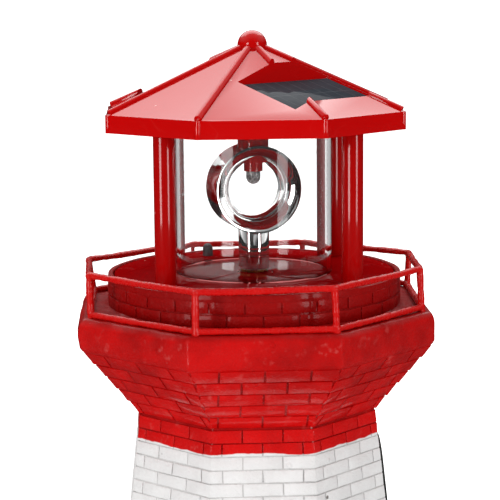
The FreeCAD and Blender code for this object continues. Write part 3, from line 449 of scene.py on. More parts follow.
def clear_plastic():
    """The tube: clear; its faint upright streaks' pink and its foot's floor red are painted
    reflections.
    """
    finish = Finish("clear_tube", Transmission_Weight=1.0, IOR=1.33, Metallic=0.0)
    upright = finish.vector("MULTIPLY", finish.here, (1, 1, 0.04))
    # faint upright streaks, tinted pink below as a painted reflection of the red parts round the
    # tube
    pink_reflection_streaks = finish.noise(150, where=upright).ramp(0.58, 0.68)
    clear = finish.mix(pink_reflection_streaks * 0.8, grey(0.985), tone(0.80, 0.70, 0.71))
    # painted reflection: the floor's red painted on the tube's foot
    foot = finish.height().ramp(FLOOR_TOP + 2.2 * MM, FLOOR_TOP + 0.4 * MM)
    scuffs = finish.group(SCUFFS, Scale=50, Amount=0.3)
    dust = finish.group(SPECKLE, Size=330, Density=0.02)
    return finish.feed(Base_Color=finish.mix(foot * 0.9, clear, tone(0.42, 0.04, 0.04)),
                       Roughness=scuffs * 0.2 + dust * 0.4 + 0.01).material


def solar_cell():
    """Dark silicon strips under clear resin; fine pale lines part the strips."""
    finish = Finish("solar_cell", Coat_Roughness=0.02, Specular_IOR_Level=0.0)
    across, down, _ = finish.split(finish.flow("ShaderNodeUVMap", "UV", {"uv_map": "cells"}))
    columns = (across * 8).math("FRACT").below(0.035)
    rows = (down * 2).math("FRACT").below(0.02)
    cells = finish.mix(finish.noise(500, 3.0), tone(0.025, 0.030, 0.038), tone(0.045, 0.05, 0.06))
    lined = finish.mix(rows.math("MAXIMUM", columns) * 0.35, cells, tone(0.16, 0.17, 0.18))
    film = (across + finish.noise(80) * 0.2).ramp(0.85, 0.30)
    finish.feed(Base_Color=lined, Roughness=finish.noise(200) * 0.05 + 0.35,
                Coat_Weight=film * 0.12 + 0.07)
    return finish.bump(finish.group(PEEL, Scale=200, Fine=0.2), 0.3, 0.35).material


def plain(name, first, second, roughness, metallic=0.0, grain=600, depth=0.05):
    """Small inner parts: two tones in a fine grain, with a matching height in mm."""
    finish = Finish(name, Metallic=metallic)
    speck = finish.noise(grain, 3.0)
    finish.feed(Base_Color=finish.mix(speck.ramp(0.35, 0.65), first, second),
                Roughness=speck * 0.15 + roughness)
    return finish.bump(speck, depth, 0.4).material


def led_epoxy():
    """Clear epoxy with pale grey flecks: partly the chip frame inside it, partly painted glints."""
    finish = Finish("led_lens", IOR=1.5, Coat_Weight=1.0, Coat_Roughness=0.03, Roughness=0.15,
                    Transmission_Weight=0.35)
    # pale flecks: painted glints that give the lens its sparkle, over the chip frame's grey
    glint_flecks = finish.noise(1100, 3.0, 0.7).ramp(0.40, 0.62)
    finish.feed(Base_Color=finish.mix(glint_flecks, grey(0.12), grey(0.75)))
    return finish.bump(glint_flecks, 0.3, 0.8).material


FINISHES = {
    "black_abs": plain("black_plastic", grey(0.02), grey(0.035), 0.35),
    "steel": plain("zinc_steel", grey(0.55), grey(0.42), 0.22, 1.0),
    "cell_wrap": plain("cell_sleeve", tone(0.02, 0.16, 0.05), tone(0.03, 0.2, 0.07), 0.2),
    "contact_nickel": plain("nickel", tone(0.60, 0.57, 0.5), tone(0.5, 0.47, 0.42), 0.2, 1.0),
    "motor_case": plain("motor_steel", grey(0.5), grey(0.4), 0.25, 1.0),
    "board": plain("circuit_board", tone(0.01, 0.10, 0.03), tone(0.02, 0.14, 0.05), 0.3),
    "black_rubber": plain("button_rubber", tone(0.012, 0.014, 0.018), tone(0.03, 0.032, 0.036),
                          0.42),
    "bush_brass": plain("brass", tone(0.60, 0.42, 0.16), tone(0.5, 0.33, 0.12), 0.2, 1.0),
    "led_red": gloss_red("holder_red", tone(0.42, 0.002, 0.003), 0.12, 0.03).material,
    "led_clear": led_epoxy(), "chrome_plate": chrome(), "clear_tube": clear_plastic(),
    "solar_cell": solar_cell(), "red_abs": ROOF_RED, "rail_paint": RAIL_PAINT,
    "cast_resin": CAST_PAINT,
}
SLOT_OF = {s["node"]: s["material_slot"] for s in frame["record"]["subparts"]}
print("finishes for slots", sorted(FINISHES))


# %% [markdown]
# ## Helpers for finished pieces
# Each finished piece is a mesh object at the origin with its place in its mesh. One helper links
# a mesh as a piece on its body. Another takes a copy of a construction part, joins its loose
# triangles, and rounds its sharp edges a little, since no moulded edge is truly sharp.


# %% piece helpers
def piece(name, mesh, material, body, stands_for=()):
    item = bpy.data.objects.new(name, mesh)
    scene.collection.objects.link(item)
    if material:
        mesh.materials.clear()
        mesh.materials.append(material)
    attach(item, body)
    if stands_for:
        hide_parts(*stands_for)
    return item


def stand_in(node, mesh, material=None, ending="_finish"):
    """A piece that takes a construction part's place, body and slot."""
    slot = SLOT_OF[node]
    body = frame["nodes"][node]["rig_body"]
    return piece(node + ending, mesh, material or FINISHES[slot], body, [node])


def baked(name, mesh, *changes):
    """The mesh with modifiers applied; each change sets one up on the object it is given."""
    item = bpy.data.objects.new(name, mesh)
    scene.collection.objects.link(item)
    for change in changes:
        change(item)
    graph = bpy.context.evaluated_depsgraph_get()
    graph.update()
    done = bpy.data.meshes.new_from_object(item.evaluated_get(graph), depsgraph=graph)
    bpy.data.objects.remove(item)
    done.name = name
    return done


def rounded(item, width, degrees):
    """Rounds edges sharper than an angle by a width in mm."""
    bevel = item.modifiers.new("round", "BEVEL")
    bevel.width = width * MM
    bevel.segments = 2
    bevel.limit_method = "ANGLE"
    bevel.angle_limit = math.radians(degrees)


def smooth_by_angle(mesh, degrees=35):
    mesh.shade_smooth()
    mesh.set_sharp_from_angle(angle=math.radians(degrees))


def shaped(name, work, degrees=None):
    """Turns a bmesh into a mesh, shaded smooth up to an angle if one is given."""
    mesh = bpy.data.meshes.new(name)
    work.to_mesh(mesh)
    work.free()
    if degrees:
        smooth_by_angle(mesh, degrees)
    return mesh


def merged(node, flatten=None):
    """A bmesh of a construction part, its triangles joined and flat faces dissolved."""
    work = bmesh.new()
    work.from_mesh(frame["nodes"][node].data)
    bmesh.ops.remove_doubles(work, verts=work.verts, dist=0.002 * MM)
    if flatten:
        bmesh.ops.dissolve_limit(work, angle_limit=math.radians(flatten), verts=work.verts,
                                 edges=work.edges)
    return work


def softened(node, width, material=None, sharp=28):
    """A construction part with its sharp edges rounded by a width in mm."""
    done = baked(node, shaped(node, merged(node, 0.5)), lambda item: rounded(item, width, sharp))
    smooth_by_angle(done)
    return stand_in(node, done, material)


def tied(work, rings, closed=True):
    """Faces between each ring of points and the next; closed ties the last to the first."""
    count = len(rings[0])
    for low, high in zip(rings, rings[1:] + (rings[:1] if closed else [])):
        for i in range(count):
            k = (i + 1) % count
            work.faces.new((low[i], low[k], high[k], high[i]))


print("helpers ready")

# %% [markdown]
# ## The casting's skin
# The tower, corbel, gallery and curb are one slush-cast piece. Its skin is an *octagonal lathe*:
# a profile whose points carry a corner radius, a height and a roundness, where 0 gives an octagon
# and 1 a circle. That lets the eight-sided deck run into the round curb without a seam. A little
# noise moves every point, because the real casting is never quite true.

# %% casting skin, in mm
PLINTH, FOOT, NECK, BAND = 74.0, 69.0, 43.0, 63.5  # corner radii
PLINTH_SKIN = PLINTH - 0.25  # uneven bricks stay in the plinth's size
FOOT_Z, NECK_Z, BAND_LOW, BAND_HIGH = 14.5, 233.0, 257.1, 264.1
CURB_OUT, CURB_IN, CURB_TOP, LEDGE_Z, LEDGE_IN = 50.0, 48.0, 278.5, 274.3, 44.0
JOINT_DEPTH = 0.45  # how far mortar lies behind the bricks
STEPS_PER_SIDE = 30
CORNER_ROUND = 0.175
BROAD_WAVE, BROAD_PUSH = 0.09, 0.28  # waves per mm, and how far they push
FINE_WAVE, FINE_PUSH = 0.35, 0.13
PROUD_Z, PROUD_REACH, PROUD = 261.5, 7.5, 4.0  # the band's bulge on the left


def between(first, last=None, count=1):
    """Evenly spaced points from first to just before last, or the first point alone."""
    return [tuple(a + (b - a) * i / count for a, b in zip(first, last or first))
            for i in range(count)]


def casting_profile():
    """(corner radius, height, roundness, waviness) once round the wall of the casting."""
    back = JOINT_DEPTH / FLAT
    mortar = CURB_OUT - JOINT_DEPTH
    lip = [(BAND - 2.3 * (1 - math.cos(a)), BAND_HIGH - 0.6 + 3.8 * math.sin(a), 0, 1)
           for a in (math.radians(d) for d in range(0, 90, 12))]
    runs = [
        [(67.2, 0, 0, 0)],
        [(73.5, 0, 0, 0), (PLINTH_SKIN, 0.6, 0, 0.3), 2],
        [(PLINTH - back, 0.8, 0, 0.5), (PLINTH - back, 10.6, 0, 0.5), 5],
        [(PLINTH - 0.3, 11.2, 0, 0.5), (FOOT + 0.3, FOOT_Z, 0, 0.5), 4],
        [(FOOT - back, FOOT_Z + 0.3, 0, 1), (NECK - back, NECK_Z, 0, 1), 70],
        [(NECK - back, NECK_Z, 0, 1), (BAND - 0.6 - back, BAND_LOW - 0.9, 0, 1), 14],
        [(BAND - 0.6, BAND_LOW - 0.6, 0, 1), (BAND, BAND_LOW + 0.4, 0, 1), 2],
        [(BAND, BAND_LOW + 0.4, 0, 1), (BAND, BAND_HIGH - 0.6, 0, 1), 5],
        *([point] for point in lip),
        [(60.6, DECK_Z, 0, 1), (51.6, DECK_Z, 1, 1), 9],
        [(51.3, DECK_Z + 0.05, 1, 1)], [(50.4, DECK_Z + 0.3, 1, 0.6)],
        [(mortar, DECK_Z + 1.0, 1, 0.4), (mortar, CURB_TOP - 2.4, 1, 0.4), 6],
        [(CURB_OUT, CURB_TOP - 2.0, 1, 0.4), (CURB_OUT, CURB_TOP - 0.5, 1, 0.4), 2]]
    inside = [(CURB_OUT - 0.15, CURB_TOP - 0.15, 1, 0.3), (CURB_OUT - 0.5, CURB_TOP, 1, 0.2),
              (CURB_IN + 0.4, CURB_TOP, 1, 0.1), (CURB_IN + 0.1, CURB_TOP - 0.3, 1, 0),
              (CURB_IN, LEDGE_Z, 1, 0), (LEDGE_IN, LEDGE_Z, 1, 0), (LEDGE_IN, 262, 1, 0),
              (56.5, 262, 0, 0), (56.5, BAND_LOW, 0, 0), (36.9, NECK_Z, 0, 0),
              (63.0, 3.6, 0, 0), (67.2, 3.6, 0, 0)]
    return [point for run in runs for point in between(*run)] + inside


def octagon_reach(corner_radius, angle):
    """Distance from the axis to an octagon with slightly rounded corners."""
    off = (angle + EIGHTH / 2) % EIGHTH - EIGHTH / 2
    return min(corner_radius * FLAT / math.cos(off), corner_radius - CORNER_ROUND)


def is_brickwork(height, reach):
    """Whether a level of the skin lies in mortar, between bricks."""
    drum = DECK_Z + 0.8 < height < CURB_TOP - 2.2 and reach > CURB_IN
    return 0.7 < height < 10.7 or FOOT_Z < height < BAND_LOW - 0.7 or drum


def casting_skin():
    work = bmesh.new()
    layer = work.verts.layers.float.new("joint")
    rings = []
    for radius, height, roundness, wave in casting_profile():
        ring = []
        for i in range(SIDES * STEPS_PER_SIDE):
            side, step = divmod(i, STEPS_PER_SIDE)
            # the points crowd towards the corners of the octagon
            crowd = 0.5 * math.cos(math.pi * (step / STEPS_PER_SIDE))
            angle = (side + 0.5 - crowd) * EIGHTH + EIGHTH / 2
            reach = octagon_reach(radius, angle) * (1 - roundness) + radius * roundness
            at = Vector((reach * math.cos(angle), reach * math.sin(angle), height))
            shift = (noise.noise_vector(at * BROAD_WAVE) * BROAD_PUSH
                     + noise.noise_vector(at * FINE_WAVE) * FINE_PUSH)
            near = max(0.0, 1 - abs(height - PROUD_Z) / PROUD_REACH)
            proud = max(0.0, -math.cos(angle) - 0.6) * PROUD * near
            vert = work.verts.new((at + shift * wave + Vector((-proud, 0, 0))) * MM)
            vert[layer] = 1.0 if is_brickwork(height, reach) else 0.0
            ring.append(vert)
        rings.append(ring)
    tied(work, rings)
    bmesh.ops.recalc_face_normals(work, faces=work.faces)
    return shaped("casting_skin", work, 32)


skin = piece("casting_skin", casting_skin(), CAST_PAINT, "tower", ["tower_casting"])
print("casting skin faces", len(skin.data.polygons))

# %% [markdown]
# ## Brick courses
# Bricks follow a rule, so a geometry tree lays them. One wall is a list of points, one per brick;
# each works out its course, its place along the course with every other course shifted by half a
# brick, and where the wall's slanting edge cuts it short. A box is set on each point, the wall is
# copied eight times round the tower, and noise pushes the corners about. A bevel then rounds
# every brick by the same amount, which scaled round bricks would not give.

# %% brick tree
BRICK_ROUND = 0.16  # mm
PUSH_SCALE = 330.0  # how finely the noise that pushes the corners varies, per metre


class Grower(Maker):
    """A geometry tree with named inputs that ends in Realize Instances and Set Material."""

    def __init__(self, name, **inputs):
        super().__init__(bpy.data.node_groups.new(name, "GeometryNodeTree"))
        kinds = {float: "Float", int: "Int", type(None): "Material"}
        self.socket("Geometry", "INPUT", "Geometry")
        for title, value in inputs.items():
            item = self.socket(title.replace("_", " "), "INPUT", kinds[type(value)])
            if value is not None:
                item.default_value = value
        self.socket("Geometry", "OUTPUT", "Geometry")
        entry = self.tree.nodes.new("NodeGroupInput")
        self.inputs = [Flow(self.tree, s) for s in entry.outputs if s.name]

    def socket(self, title, way, kind):
        return self.tree.interface.new_socket(title, in_out=way, socket_type="NodeSocket" + kind)

    def give(self, geometry):
        ready = self.flow("GeometryNodeRealizeInstances", Geometry=geometry)
        coated = self.flow("GeometryNodeSetMaterial", Geometry=ready, Material=self.inputs[-1])
        plug(self.tree, coated, self.tree.nodes.new("NodeGroupOutput").inputs[0])
        return self.tree


def brick_tree(name, wrapped):
    """Courses on a flat wall that is then leant and set round the tower, or wrapped as a drum."""
    tree = Grower(name, Bottom_Width=0.04, Top_Width=0.03, Slope_Height=0.1, Courses=10,
                  Per_Course=5, Brick_Length=0.012, Joint=0.001, Depth=0.0005, Wall_Radius=0.05,
                  Wall_Foot=0.0, Lean=0.0, Uneven=0.0003, Seed=1, Material=None)
    (_, bottom, top, slope, courses, per_course, length, joint, depth, radius, foot, lean,
     uneven, seed, _) = tree.inputs
    index = tree.flow("GeometryNodeInputIndex")
    course = (index / per_course).math("FLOOR")
    column = index - course * per_course
    rise = slope / courses
    middle = (course + 0.5) * rise
    width = bottom + (top - bottom) * middle / slope
    start = (column - per_course * 0.5 + (course * 0.5).math("FRACT")) * length
    left = start.math("MAXIMUM", width * -0.5)
    right = (start + length).math("MINIMUM", width * 0.5)
    long = right - left - joint
    points = tree.flow("GeometryNodePoints", Count=courses * per_course,
                       Position=tree.combine((left + right) * 0.5, middle, 0.0))
    sized = tree.flow("GeometryNodeStoreNamedAttribute", settings={"data_type": "FLOAT_VECTOR"},
                      Geometry=points, Name="brick_size",
                      Value=tree.combine(long, rise - joint, depth * 2))
    kept = tree.flow("GeometryNodeDeleteGeometry", settings={"domain": "POINT"}, Geometry=sized,
                     Selection=long.below(joint * 1.3))
    size = tree.flow("GeometryNodeInputNamedAttribute", "Attribute",
                     {"data_type": "FLOAT_VECTOR"}, Name="brick_size")
    brick = tree.add("GeometryNodeMeshCube", Size=(1, 1, 1))
    if wrapped:
        brick.inputs["Vertices X"].default_value = 5
    laid = tree.flow("GeometryNodeInstanceOnPoints", Points=kept, Scale=size,
                     Instance=brick.outputs["Mesh"])
    walls = tree.flow("GeometryNodeRealizeInstances", Geometry=laid)
    if wrapped:
        along, up, out = tree.split(tree.flow("GeometryNodeInputPosition"))
        turn, reach = along / radius, radius + out
        bent = tree.combine(reach * turn.math("SINE"), reach * turn.math("COSINE") * -1, foot + up)
        walls = tree.flow("GeometryNodeSetPosition", Geometry=walls, Position=bent)
    else:
        # lean the wall, stand it at the front, and copy it round
        stood = tree.flow("GeometryNodeTransform", Geometry=walls,
                          Rotation=tree.combine(lean, 0.0, 0.0),
                          Translation=tree.combine(0.0, radius * -1, foot))
        ring = tree.flow("GeometryNodeInstanceOnPoints", Instance=stood,
                         Points=tree.flow("GeometryNodePoints", Count=SIDES),
                         Rotation=tree.combine(0.0, 0.0, index * EIGHTH))
        walls = tree.flow("GeometryNodeRealizeInstances", Geometry=ring)
    push = tree.flow("ShaderNodeTexNoise", "Color", {"noise_dimensions": "4D"},
                     Scale=PUSH_SCALE, W=seed * 3.7, Detail=1.0)
    moved = tree.flow("ShaderNodeVectorMath", settings={"operation": "SCALE"},
                      Vector=tree.vector("SUBTRACT", push, (0.5, 0.5, 0.5)), Scale=uneven * 2)
    return tree.give(tree.flow("GeometryNodeSetPosition", Geometry=walls, Offset=moved))


def grown(name, tree, values, base=None, bevel=0):
    """Runs a geometry tree, on a base mesh or on nothing, and returns what it grows as a mesh."""
    def grow(item):
        grower = item.modifiers.new("grow", "NODES")
        grower.node_group = tree
        for socket in tree.interface.items_tree:
            if socket.in_out == "INPUT" and socket.name in values:
                grower[socket.identifier] = values[socket.name]
        if bevel:
            rounded(item, bevel, 40)

    return baked(name, base or bpy.data.meshes.new(name + "_seed"), grow)


BRICK_WALL, BRICK_DRUM = brick_tree("brick_wall", False), brick_tree("brick_drum", True)
print("brick trees", BRICK_WALL.name, BRICK_DRUM.name)


# %% lay the bricks
def laid_bricks(name, tree, sizes, counts):
    """Bricks from sizes in mm, and from counts and angles."""
    values = {title: size * MM for title, size in sizes.items()} | counts
    values["Material"] = CAST_PAINT
    mesh = grown(name, tree, values, bevel=BRICK_ROUND)
    smooth_by_angle(mesh, 50)
    print(name, "faces", len(mesh.polygons))
    return piece(name, mesh, None, "tower")


def brick_wall(name, low, high, courses, length, joint, depth, uneven, seed):
    """Bricks on all eight walls between two (corner radius, height) levels, in mm."""
    flat_low, flat_high = low[0] * FLAT, high[0] * FLAT
    side = 2 * math.sin(EIGHTH / 2)
    rise, inset = high[1] - low[1], flat_low - flat_high
    laid_bricks(name, BRICK_WALL, {
        "Bottom Width": low[0] * side + joint, "Top Width": high[0] * side + joint,
        "Slope Height": math.hypot(rise, inset), "Brick Length": length, "Joint": joint,
        "Depth": depth, "Wall Radius": flat_low - depth, "Wall Foot": low[1], "Uneven": uneven,
    }, {"Courses": courses, "Lean": math.pi / 2 - math.atan2(inset, rise), "Seed": seed,
        "Per Course": math.ceil(max(low[0], high[0]) * side / length) + 2})


def level(height):
    """(corner radius, height) of the tapered tower wall."""
    share = (height - FOOT_Z) / (NECK_Z - FOOT_Z)
    return (FOOT + (NECK - FOOT) * share, height)


COURSE = 4.35  # mm from one course of the tower to the next
CURB_BRICKS, CURB_BRICK_DEPTH = 27, 0.48
brick_wall("tower_bricks", level(FOOT_Z + 0.4), level(NECK_Z - 0.6),
           courses=round((NECK_Z - FOOT_Z - 1.2) / COURSE), length=13.2, joint=0.40, depth=0.48,
           uneven=0.32, seed=1)
brick_wall("corbel_bricks", (NECK, NECK_Z + 0.2), (BAND - 0.7, BAND_LOW - 0.9), courses=5,
           length=14.5, joint=0.65, depth=0.5, uneven=0.36, seed=2)
brick_wall("plinth_bricks", (PLINTH_SKIN, 0.9), (PLINTH_SKIN, 10.7), courses=2, length=15.0,
           joint=0.5, depth=0.4, uneven=0.25, seed=3)
curb_round = 2 * math.pi * CURB_OUT
laid_bricks("curb_bricks", BRICK_DRUM, {
    "Bottom Width": curb_round, "Top Width": curb_round, "Slope Height": 8.6,
    "Brick Length": curb_round / CURB_BRICKS, "Joint": 0.55, "Depth": CURB_BRICK_DEPTH,
    "Wall Radius": CURB_OUT - CURB_BRICK_DEPTH, "Wall Foot": DECK_Z + 0.5, "Uneven": 0.25,
}, {"Courses": 2, "Per Course": CURB_BRICKS + 1, "Seed": 4})

# %% [markdown]
# ## The railing
# Eight posts, a top wire and eight lower wires, welded and dipped in thick paint. The paint leaves
# lumps along the wires and fat joints. A geometry tree sweeps a wire with an uneven thickness; the
# wires and a blob for each weld are then joined into one skin with a remesh, which fills every
# corner the way the paint does.

# %% wire tree
RAIL_R, WIRE_R, RAIL_HIGH, RAIL_LOW, POST_R = 60.4, 1.08, 280.6, 269.1, 1.12  # mm
WIRE_LUMPS, WIRE_SIDES = 0.42, 12


def wire_tree():
    """Sweeps the edges that come in as an uneven wire."""
    tree = Grower("lumpy_wire", Radius=0.001, Lumps=0.2, Lump_Scale=250.0, Step=0.0006, Seed=0,
                  Material=None)
    lines, radius, lumps, scale, step, seed, _ = tree.inputs
    curve = tree.flow("GeometryNodeMeshToCurve", Mesh=lines)
    even = tree.flow("GeometryNodeResampleCurve", settings={"mode": "LENGTH"}, Curve=curve,
                     Length=step)
    bulge = tree.flow("ShaderNodeTexNoise", "Fac", {"noise_dimensions": "4D"}, W=seed,
                      Scale=scale, Detail=3.0)
    ring = tree.flow("GeometryNodeCurvePrimitiveCircle", Resolution=WIRE_SIDES, Radius=radius)
    return tree.give(tree.flow("GeometryNodeCurveToMesh", Curve=even, Profile_Curve=ring,
                               Scale=(bulge - 0.45) * lumps * 2 + 1, Fill_Caps=True))


LUMPY_WIRE = wire_tree()
print("wire tree", LUMPY_WIRE.name)


# %% railing
# how far each corner of the top wire, and of the wires at the deck, is bent out of true, in mm
TOP_BENT = [(1.0, 0, -0.8), (0, 0, -1.2), (0, 0, -1.3), (-1.4, 0, -1.2),
            (0.3, 0, 0.9), (1.5, 0, 0.5), (-1.2, 0, 0.9), (-2.2, 0, 1.1)]
LOW_BENT = [(0.4, 0, -0.5), (0, 0, -0.6), (0, 0, -0.6), (0.2, 0, -0.7),
            (0.6, 0, -0.8), (1.5, 0, -0.6), (-0.5, 0, -0.6), (-1.5, 0, -0.3)]
SAG, SWAY = 0.25, 0.35  # mm: the top wire's droop and sideways bow between posts
RAIL_VOXEL = 0.3  # mm
# (height, radius, stretch) of the paint lumps on each post
WELDS = [(RAIL_HIGH - 0.3, 1.35, (1, 1, 0.85)), (RAIL_HIGH - 1.6, 1.15, (1, 1, 1.2)),
         (RAIL_LOW, 1.3, (1, 1, 1)), (DECK_Z + 0.2, 1.35, (1, 1, 0.7))]


def corner(index, height):
    """Where a corner of the railing is at a height in mm."""
    angle, index = EIGHTH * (index + 0.5), index % SIDES
    share = (height - RAIL_LOW) / (RAIL_HIGH - RAIL_LOW)
    bend = Vector(LOW_BENT[index]).lerp(Vector(TOP_BENT[index]), min(1, max(0, share)))
    if height < RAIL_LOW - 0.5:
        bend.z = 0
    return (Vector((RAIL_R * math.cos(angle), RAIL_R * math.sin(angle), height)) + bend) * MM


def swept(lines, radius, seed):
    """A wire swept along each line of points."""
    points, edges = [], []
    for line in lines:
        edges += [(len(points) + i, len(points) + i + 1) for i in range(len(line) - 1)]
        points += line
    mesh = bpy.data.meshes.new("lines")
    mesh.from_pydata(points, edges, [])
    return grown("wire", LUMPY_WIRE, {
        "Radius": radius * MM, "Lumps": WIRE_LUMPS, "Lump Scale": 260.0, "Step": 0.5 * MM,
        "Seed": seed, "Material": RAIL_PAINT}, base=mesh)


def blob(work, centre, radius, stretch):
    """A weld or a hanging drip: a small ball pushed about by noise."""
    ball = bmesh.ops.create_icosphere(work, subdivisions=2, radius=radius * MM)
    for v in ball["verts"]:
        v.co = Vector(a * b for a, b in zip(v.co, stretch))
        v.co += noise.noise_vector((v.co + centre) / MM * 0.8) * 0.25 * MM + centre


def top_wire():
    """Straight between corners that are bent, not mitred, with a slight droop."""
    points = []
    for i in range(SIDES):
        here, after = corner(i, RAIL_HIGH), corner(i + 1, RAIL_HIGH)
        for t in (0.025, 0.25, 0.5, 0.75, 0.975):
            p = here.lerp(after, t)
            p.z -= SAG * MM * math.sin(math.pi * t)
            p += noise.noise_vector(p / MM * 0.05) * SWAY * MM * math.sin(math.pi * t)
            points.append(p)
    return points + points[:1]


def paint_skin(item):
    """Joins wires and welds into one skin and relaxes it."""
    skin = item.modifiers.new("skin", "REMESH")
    skin.mode = "VOXEL"
    skin.voxel_size = RAIL_VOXEL * MM
    relax = item.modifiers.new("relax", "SMOOTH")
    relax.factor = 0.5
    relax.iterations = 3


def railing():
    work = bmesh.new()
    low = [[corner(i, RAIL_LOW), corner(i, RAIL_LOW).lerp(corner(i + 1, RAIL_LOW - 0.3), 0.5),
            corner(i + 1, RAIL_LOW)] for i in range(SIDES)]
    posts = [[corner(i, z) for z in (DECK_Z - 0.5, 274, RAIL_HIGH)] for i in range(SIDES)]
    for seed, (lines, radius) in enumerate(
            (([top_wire()], WIRE_R), (low, WIRE_R), (posts, POST_R)), 1):
        work.from_mesh(swept(lines, radius, seed))
    for i in range(SIDES):
        for height, radius, stretch in WELDS:
            blob(work, corner(i, height), radius, stretch)
    # a paint run that hangs under the top wire, behind on the right
    run = corner(1, RAIL_HIGH).lerp(corner(0, RAIL_HIGH), 0.32)
    blob(work, run - Vector((0, 0, 1.2 * MM)), 1.2, (1.5, 1.0, 0.9))
    blob(work, run - Vector((0.6 * MM, 0, 2.2 * MM)), 0.8, (1.0, 0.9, 1.0))
    done = baked("railing", shaped("railing_raw", work), paint_skin)
    done.shade_smooth()
    return piece("railing", done, RAIL_PAINT, "tower",
                 ["rail_top", "rail_bottom", "rail_posts"])


rail = railing()
print("railing faces", len(rail.data.polygons))

# %% [markdown]
# ## Window and door reliefs
# The windows are cast with the tower as raised arches and painted black. Each is modelled flat,
# as an arch with a sunk pane and a cross of bars, then leant onto its wall.

# %% arched reliefs, in mm
WINDOW, DOOR = (14.0, 28.0), (20.0, 40.0)  # width and height
WINDOWS = {"window_high": (0, 192), "window_mid": (270, 130), "window_low": (180, 66)}
DOOR_PLACE = (270, 15.0)  # side in degrees and sill height
PLANKS, PLANK_WIDTH, PLANK_GAP = 5, 3.0, 0.2
RELIEF_ROUND, ARCH_STEPS = 0.25, 14


def arch_loop(work, panel, inset, depth):
    """Points round a round-topped panel, from the bottom left corner to the bottom right."""
    width, tall = panel
    half, spring = width / 2 - inset, tall - width / 2
    turns = (math.pi - math.pi * i / ARCH_STEPS for i in range(ARCH_STEPS + 1))
    top = [(half * math.cos(a), spring + half * math.sin(a)) for a in turns]
    return [work.verts.new((x * MM, -depth * MM, z * MM))
            for x, z in [(-half, inset), *top, (half, inset)]]


def arch_frame(work, panel, inset, low, high):
    """A raised border round a panel, from depth low to high."""
    tied(work, [arch_loop(work, panel, *at)
                for at in ((0, low), (0, high), (inset, high), (inset, low))])


def arch_slab(work, panel, inset, low, high):
    """A flat plate inside a panel's border, between two depths."""
    back, front = (arch_loop(work, panel, inset, depth) for depth in (low, high))
    work.faces.new(front)
    work.faces.new(back[::-1])
    tied(work, [back, front], closed=False)


def bar(work, x0, x1, z0, z1, low, high):
    for v in bmesh.ops.create_cube(work, size=1)["verts"]:
        x, y, z = v.co
        v.co = Vector((((x0 + x1) / 2 + x * (x1 - x0)) * MM,
                       -((low + high) / 2 + y * (high - low)) * MM,
                       ((z0 + z1) / 2 + z * (z1 - z0)) * MM))


def relief(name, side, sill, material, build):
    """Builds a flat relief, leans it onto the wall of a side and stands it on its sill."""
    work = bmesh.new()
    build(work)
    lean = math.atan((FOOT - NECK) * FLAT / (NECK_Z - FOOT_Z))
    move = (Matrix.Rotation(math.radians(side) + math.pi / 2, 4, "Z")
            @ Matrix.Translation((0, -level(sill)[0] * FLAT * MM, sill * MM))
            @ Matrix.Rotation(-lean, 4, "X"))
    bmesh.ops.transform(work, matrix=move, verts=work.verts)
    bmesh.ops.recalc_face_normals(work, faces=work.faces)
    item = piece(name, shaped(name, work, 40), material, "tower")
    rounded(item, RELIEF_ROUND, 30)


def window_frame(work):
    arch_frame(work, WINDOW, 2.0, -1.0, 1.8)
    bar(work, -0.6, 0.6, 1.6, WINDOW[1] - 1.5, 0.3, 1.3)
    bar(work, -5.6, 5.6, 13.2, 14.4, 0.3, 1.3)
    bar(work, -8.2, 8.2, -1.4, 0.6, -1.0, 2.6)


def window_pane(work):
    arch_slab(work, WINDOW, 1.9, -0.6, 0.7)


def door_frame(work):
    arch_frame(work, DOOR, 2.2, -1.0, 2.0)
    bar(work, -11.5, 11.5, -1.2, 0.8, -1.0, 3.2)


def door_planks(work):
    """Upright planks whose tops follow the arch, on a backing slab."""
    arch_slab(work, DOOR, 2.1, -0.6, 0.55)
    for i in range(PLANKS):
        left = -7.9 + i * (PLANK_WIDTH + PLANK_GAP)
        right = left + PLANK_WIDTH
        arch = math.sqrt(max(0.1, 7.8 ** 2 - max(abs(left), abs(right)) ** 2))
        bar(work, left, right, 0.4, DOOR[1] - DOOR[0] / 2 + arch, -0.5, 1.0 + 0.12 * (i % 2))


def door_knob(work):
    bmesh.ops.create_icosphere(work, subdivisions=3, radius=0.9 * MM,
                               matrix=Matrix.Translation(Vector((5.2, -1.6, 17)) * MM))


FRAME_BLACK = plain("frame_black", grey(0.012), grey(0.03), 0.3, grain=300, depth=0.2)
PANE_DARK = plain("pane_dark", tone(0.02, 0.022, 0.03), tone(0.05, 0.05, 0.06), 0.18, grain=150,
                  depth=0.15)
DOOR_BROWN = plain("door_paint", tone(0.10, 0.035, 0.015), tone(0.16, 0.06, 0.03), 0.4,
                   grain=200, depth=0.3)
for name, place in WINDOWS.items():
    relief(name + "_frame", *place, FRAME_BLACK, window_frame)
    relief(name + "_pane", *place, PANE_DARK, window_pane)
relief("door_frame", *DOOR_PLACE, FRAME_BLACK, door_frame)
relief("door_planks", *DOOR_PLACE, DOOR_BROWN, door_planks)
relief("door_knob", *DOOR_PLACE, FINISHES["bush_brass"], door_knob)

# %% [markdown]
# ## The moulded lantern
# The roof, ceiling, floor and pillars keep their construction shapes, with rounded edges. The
# tube is turned afresh with fine steps, because a reflection shows every flat. The ring and the
# small round parts are fine enough already and are only shaded smooth.

# %% lantern pieces
TUBE_STEPS, TUBE_WALL, TUBE_ROUND = 160, 1.3, 0.2  # the last two in mm


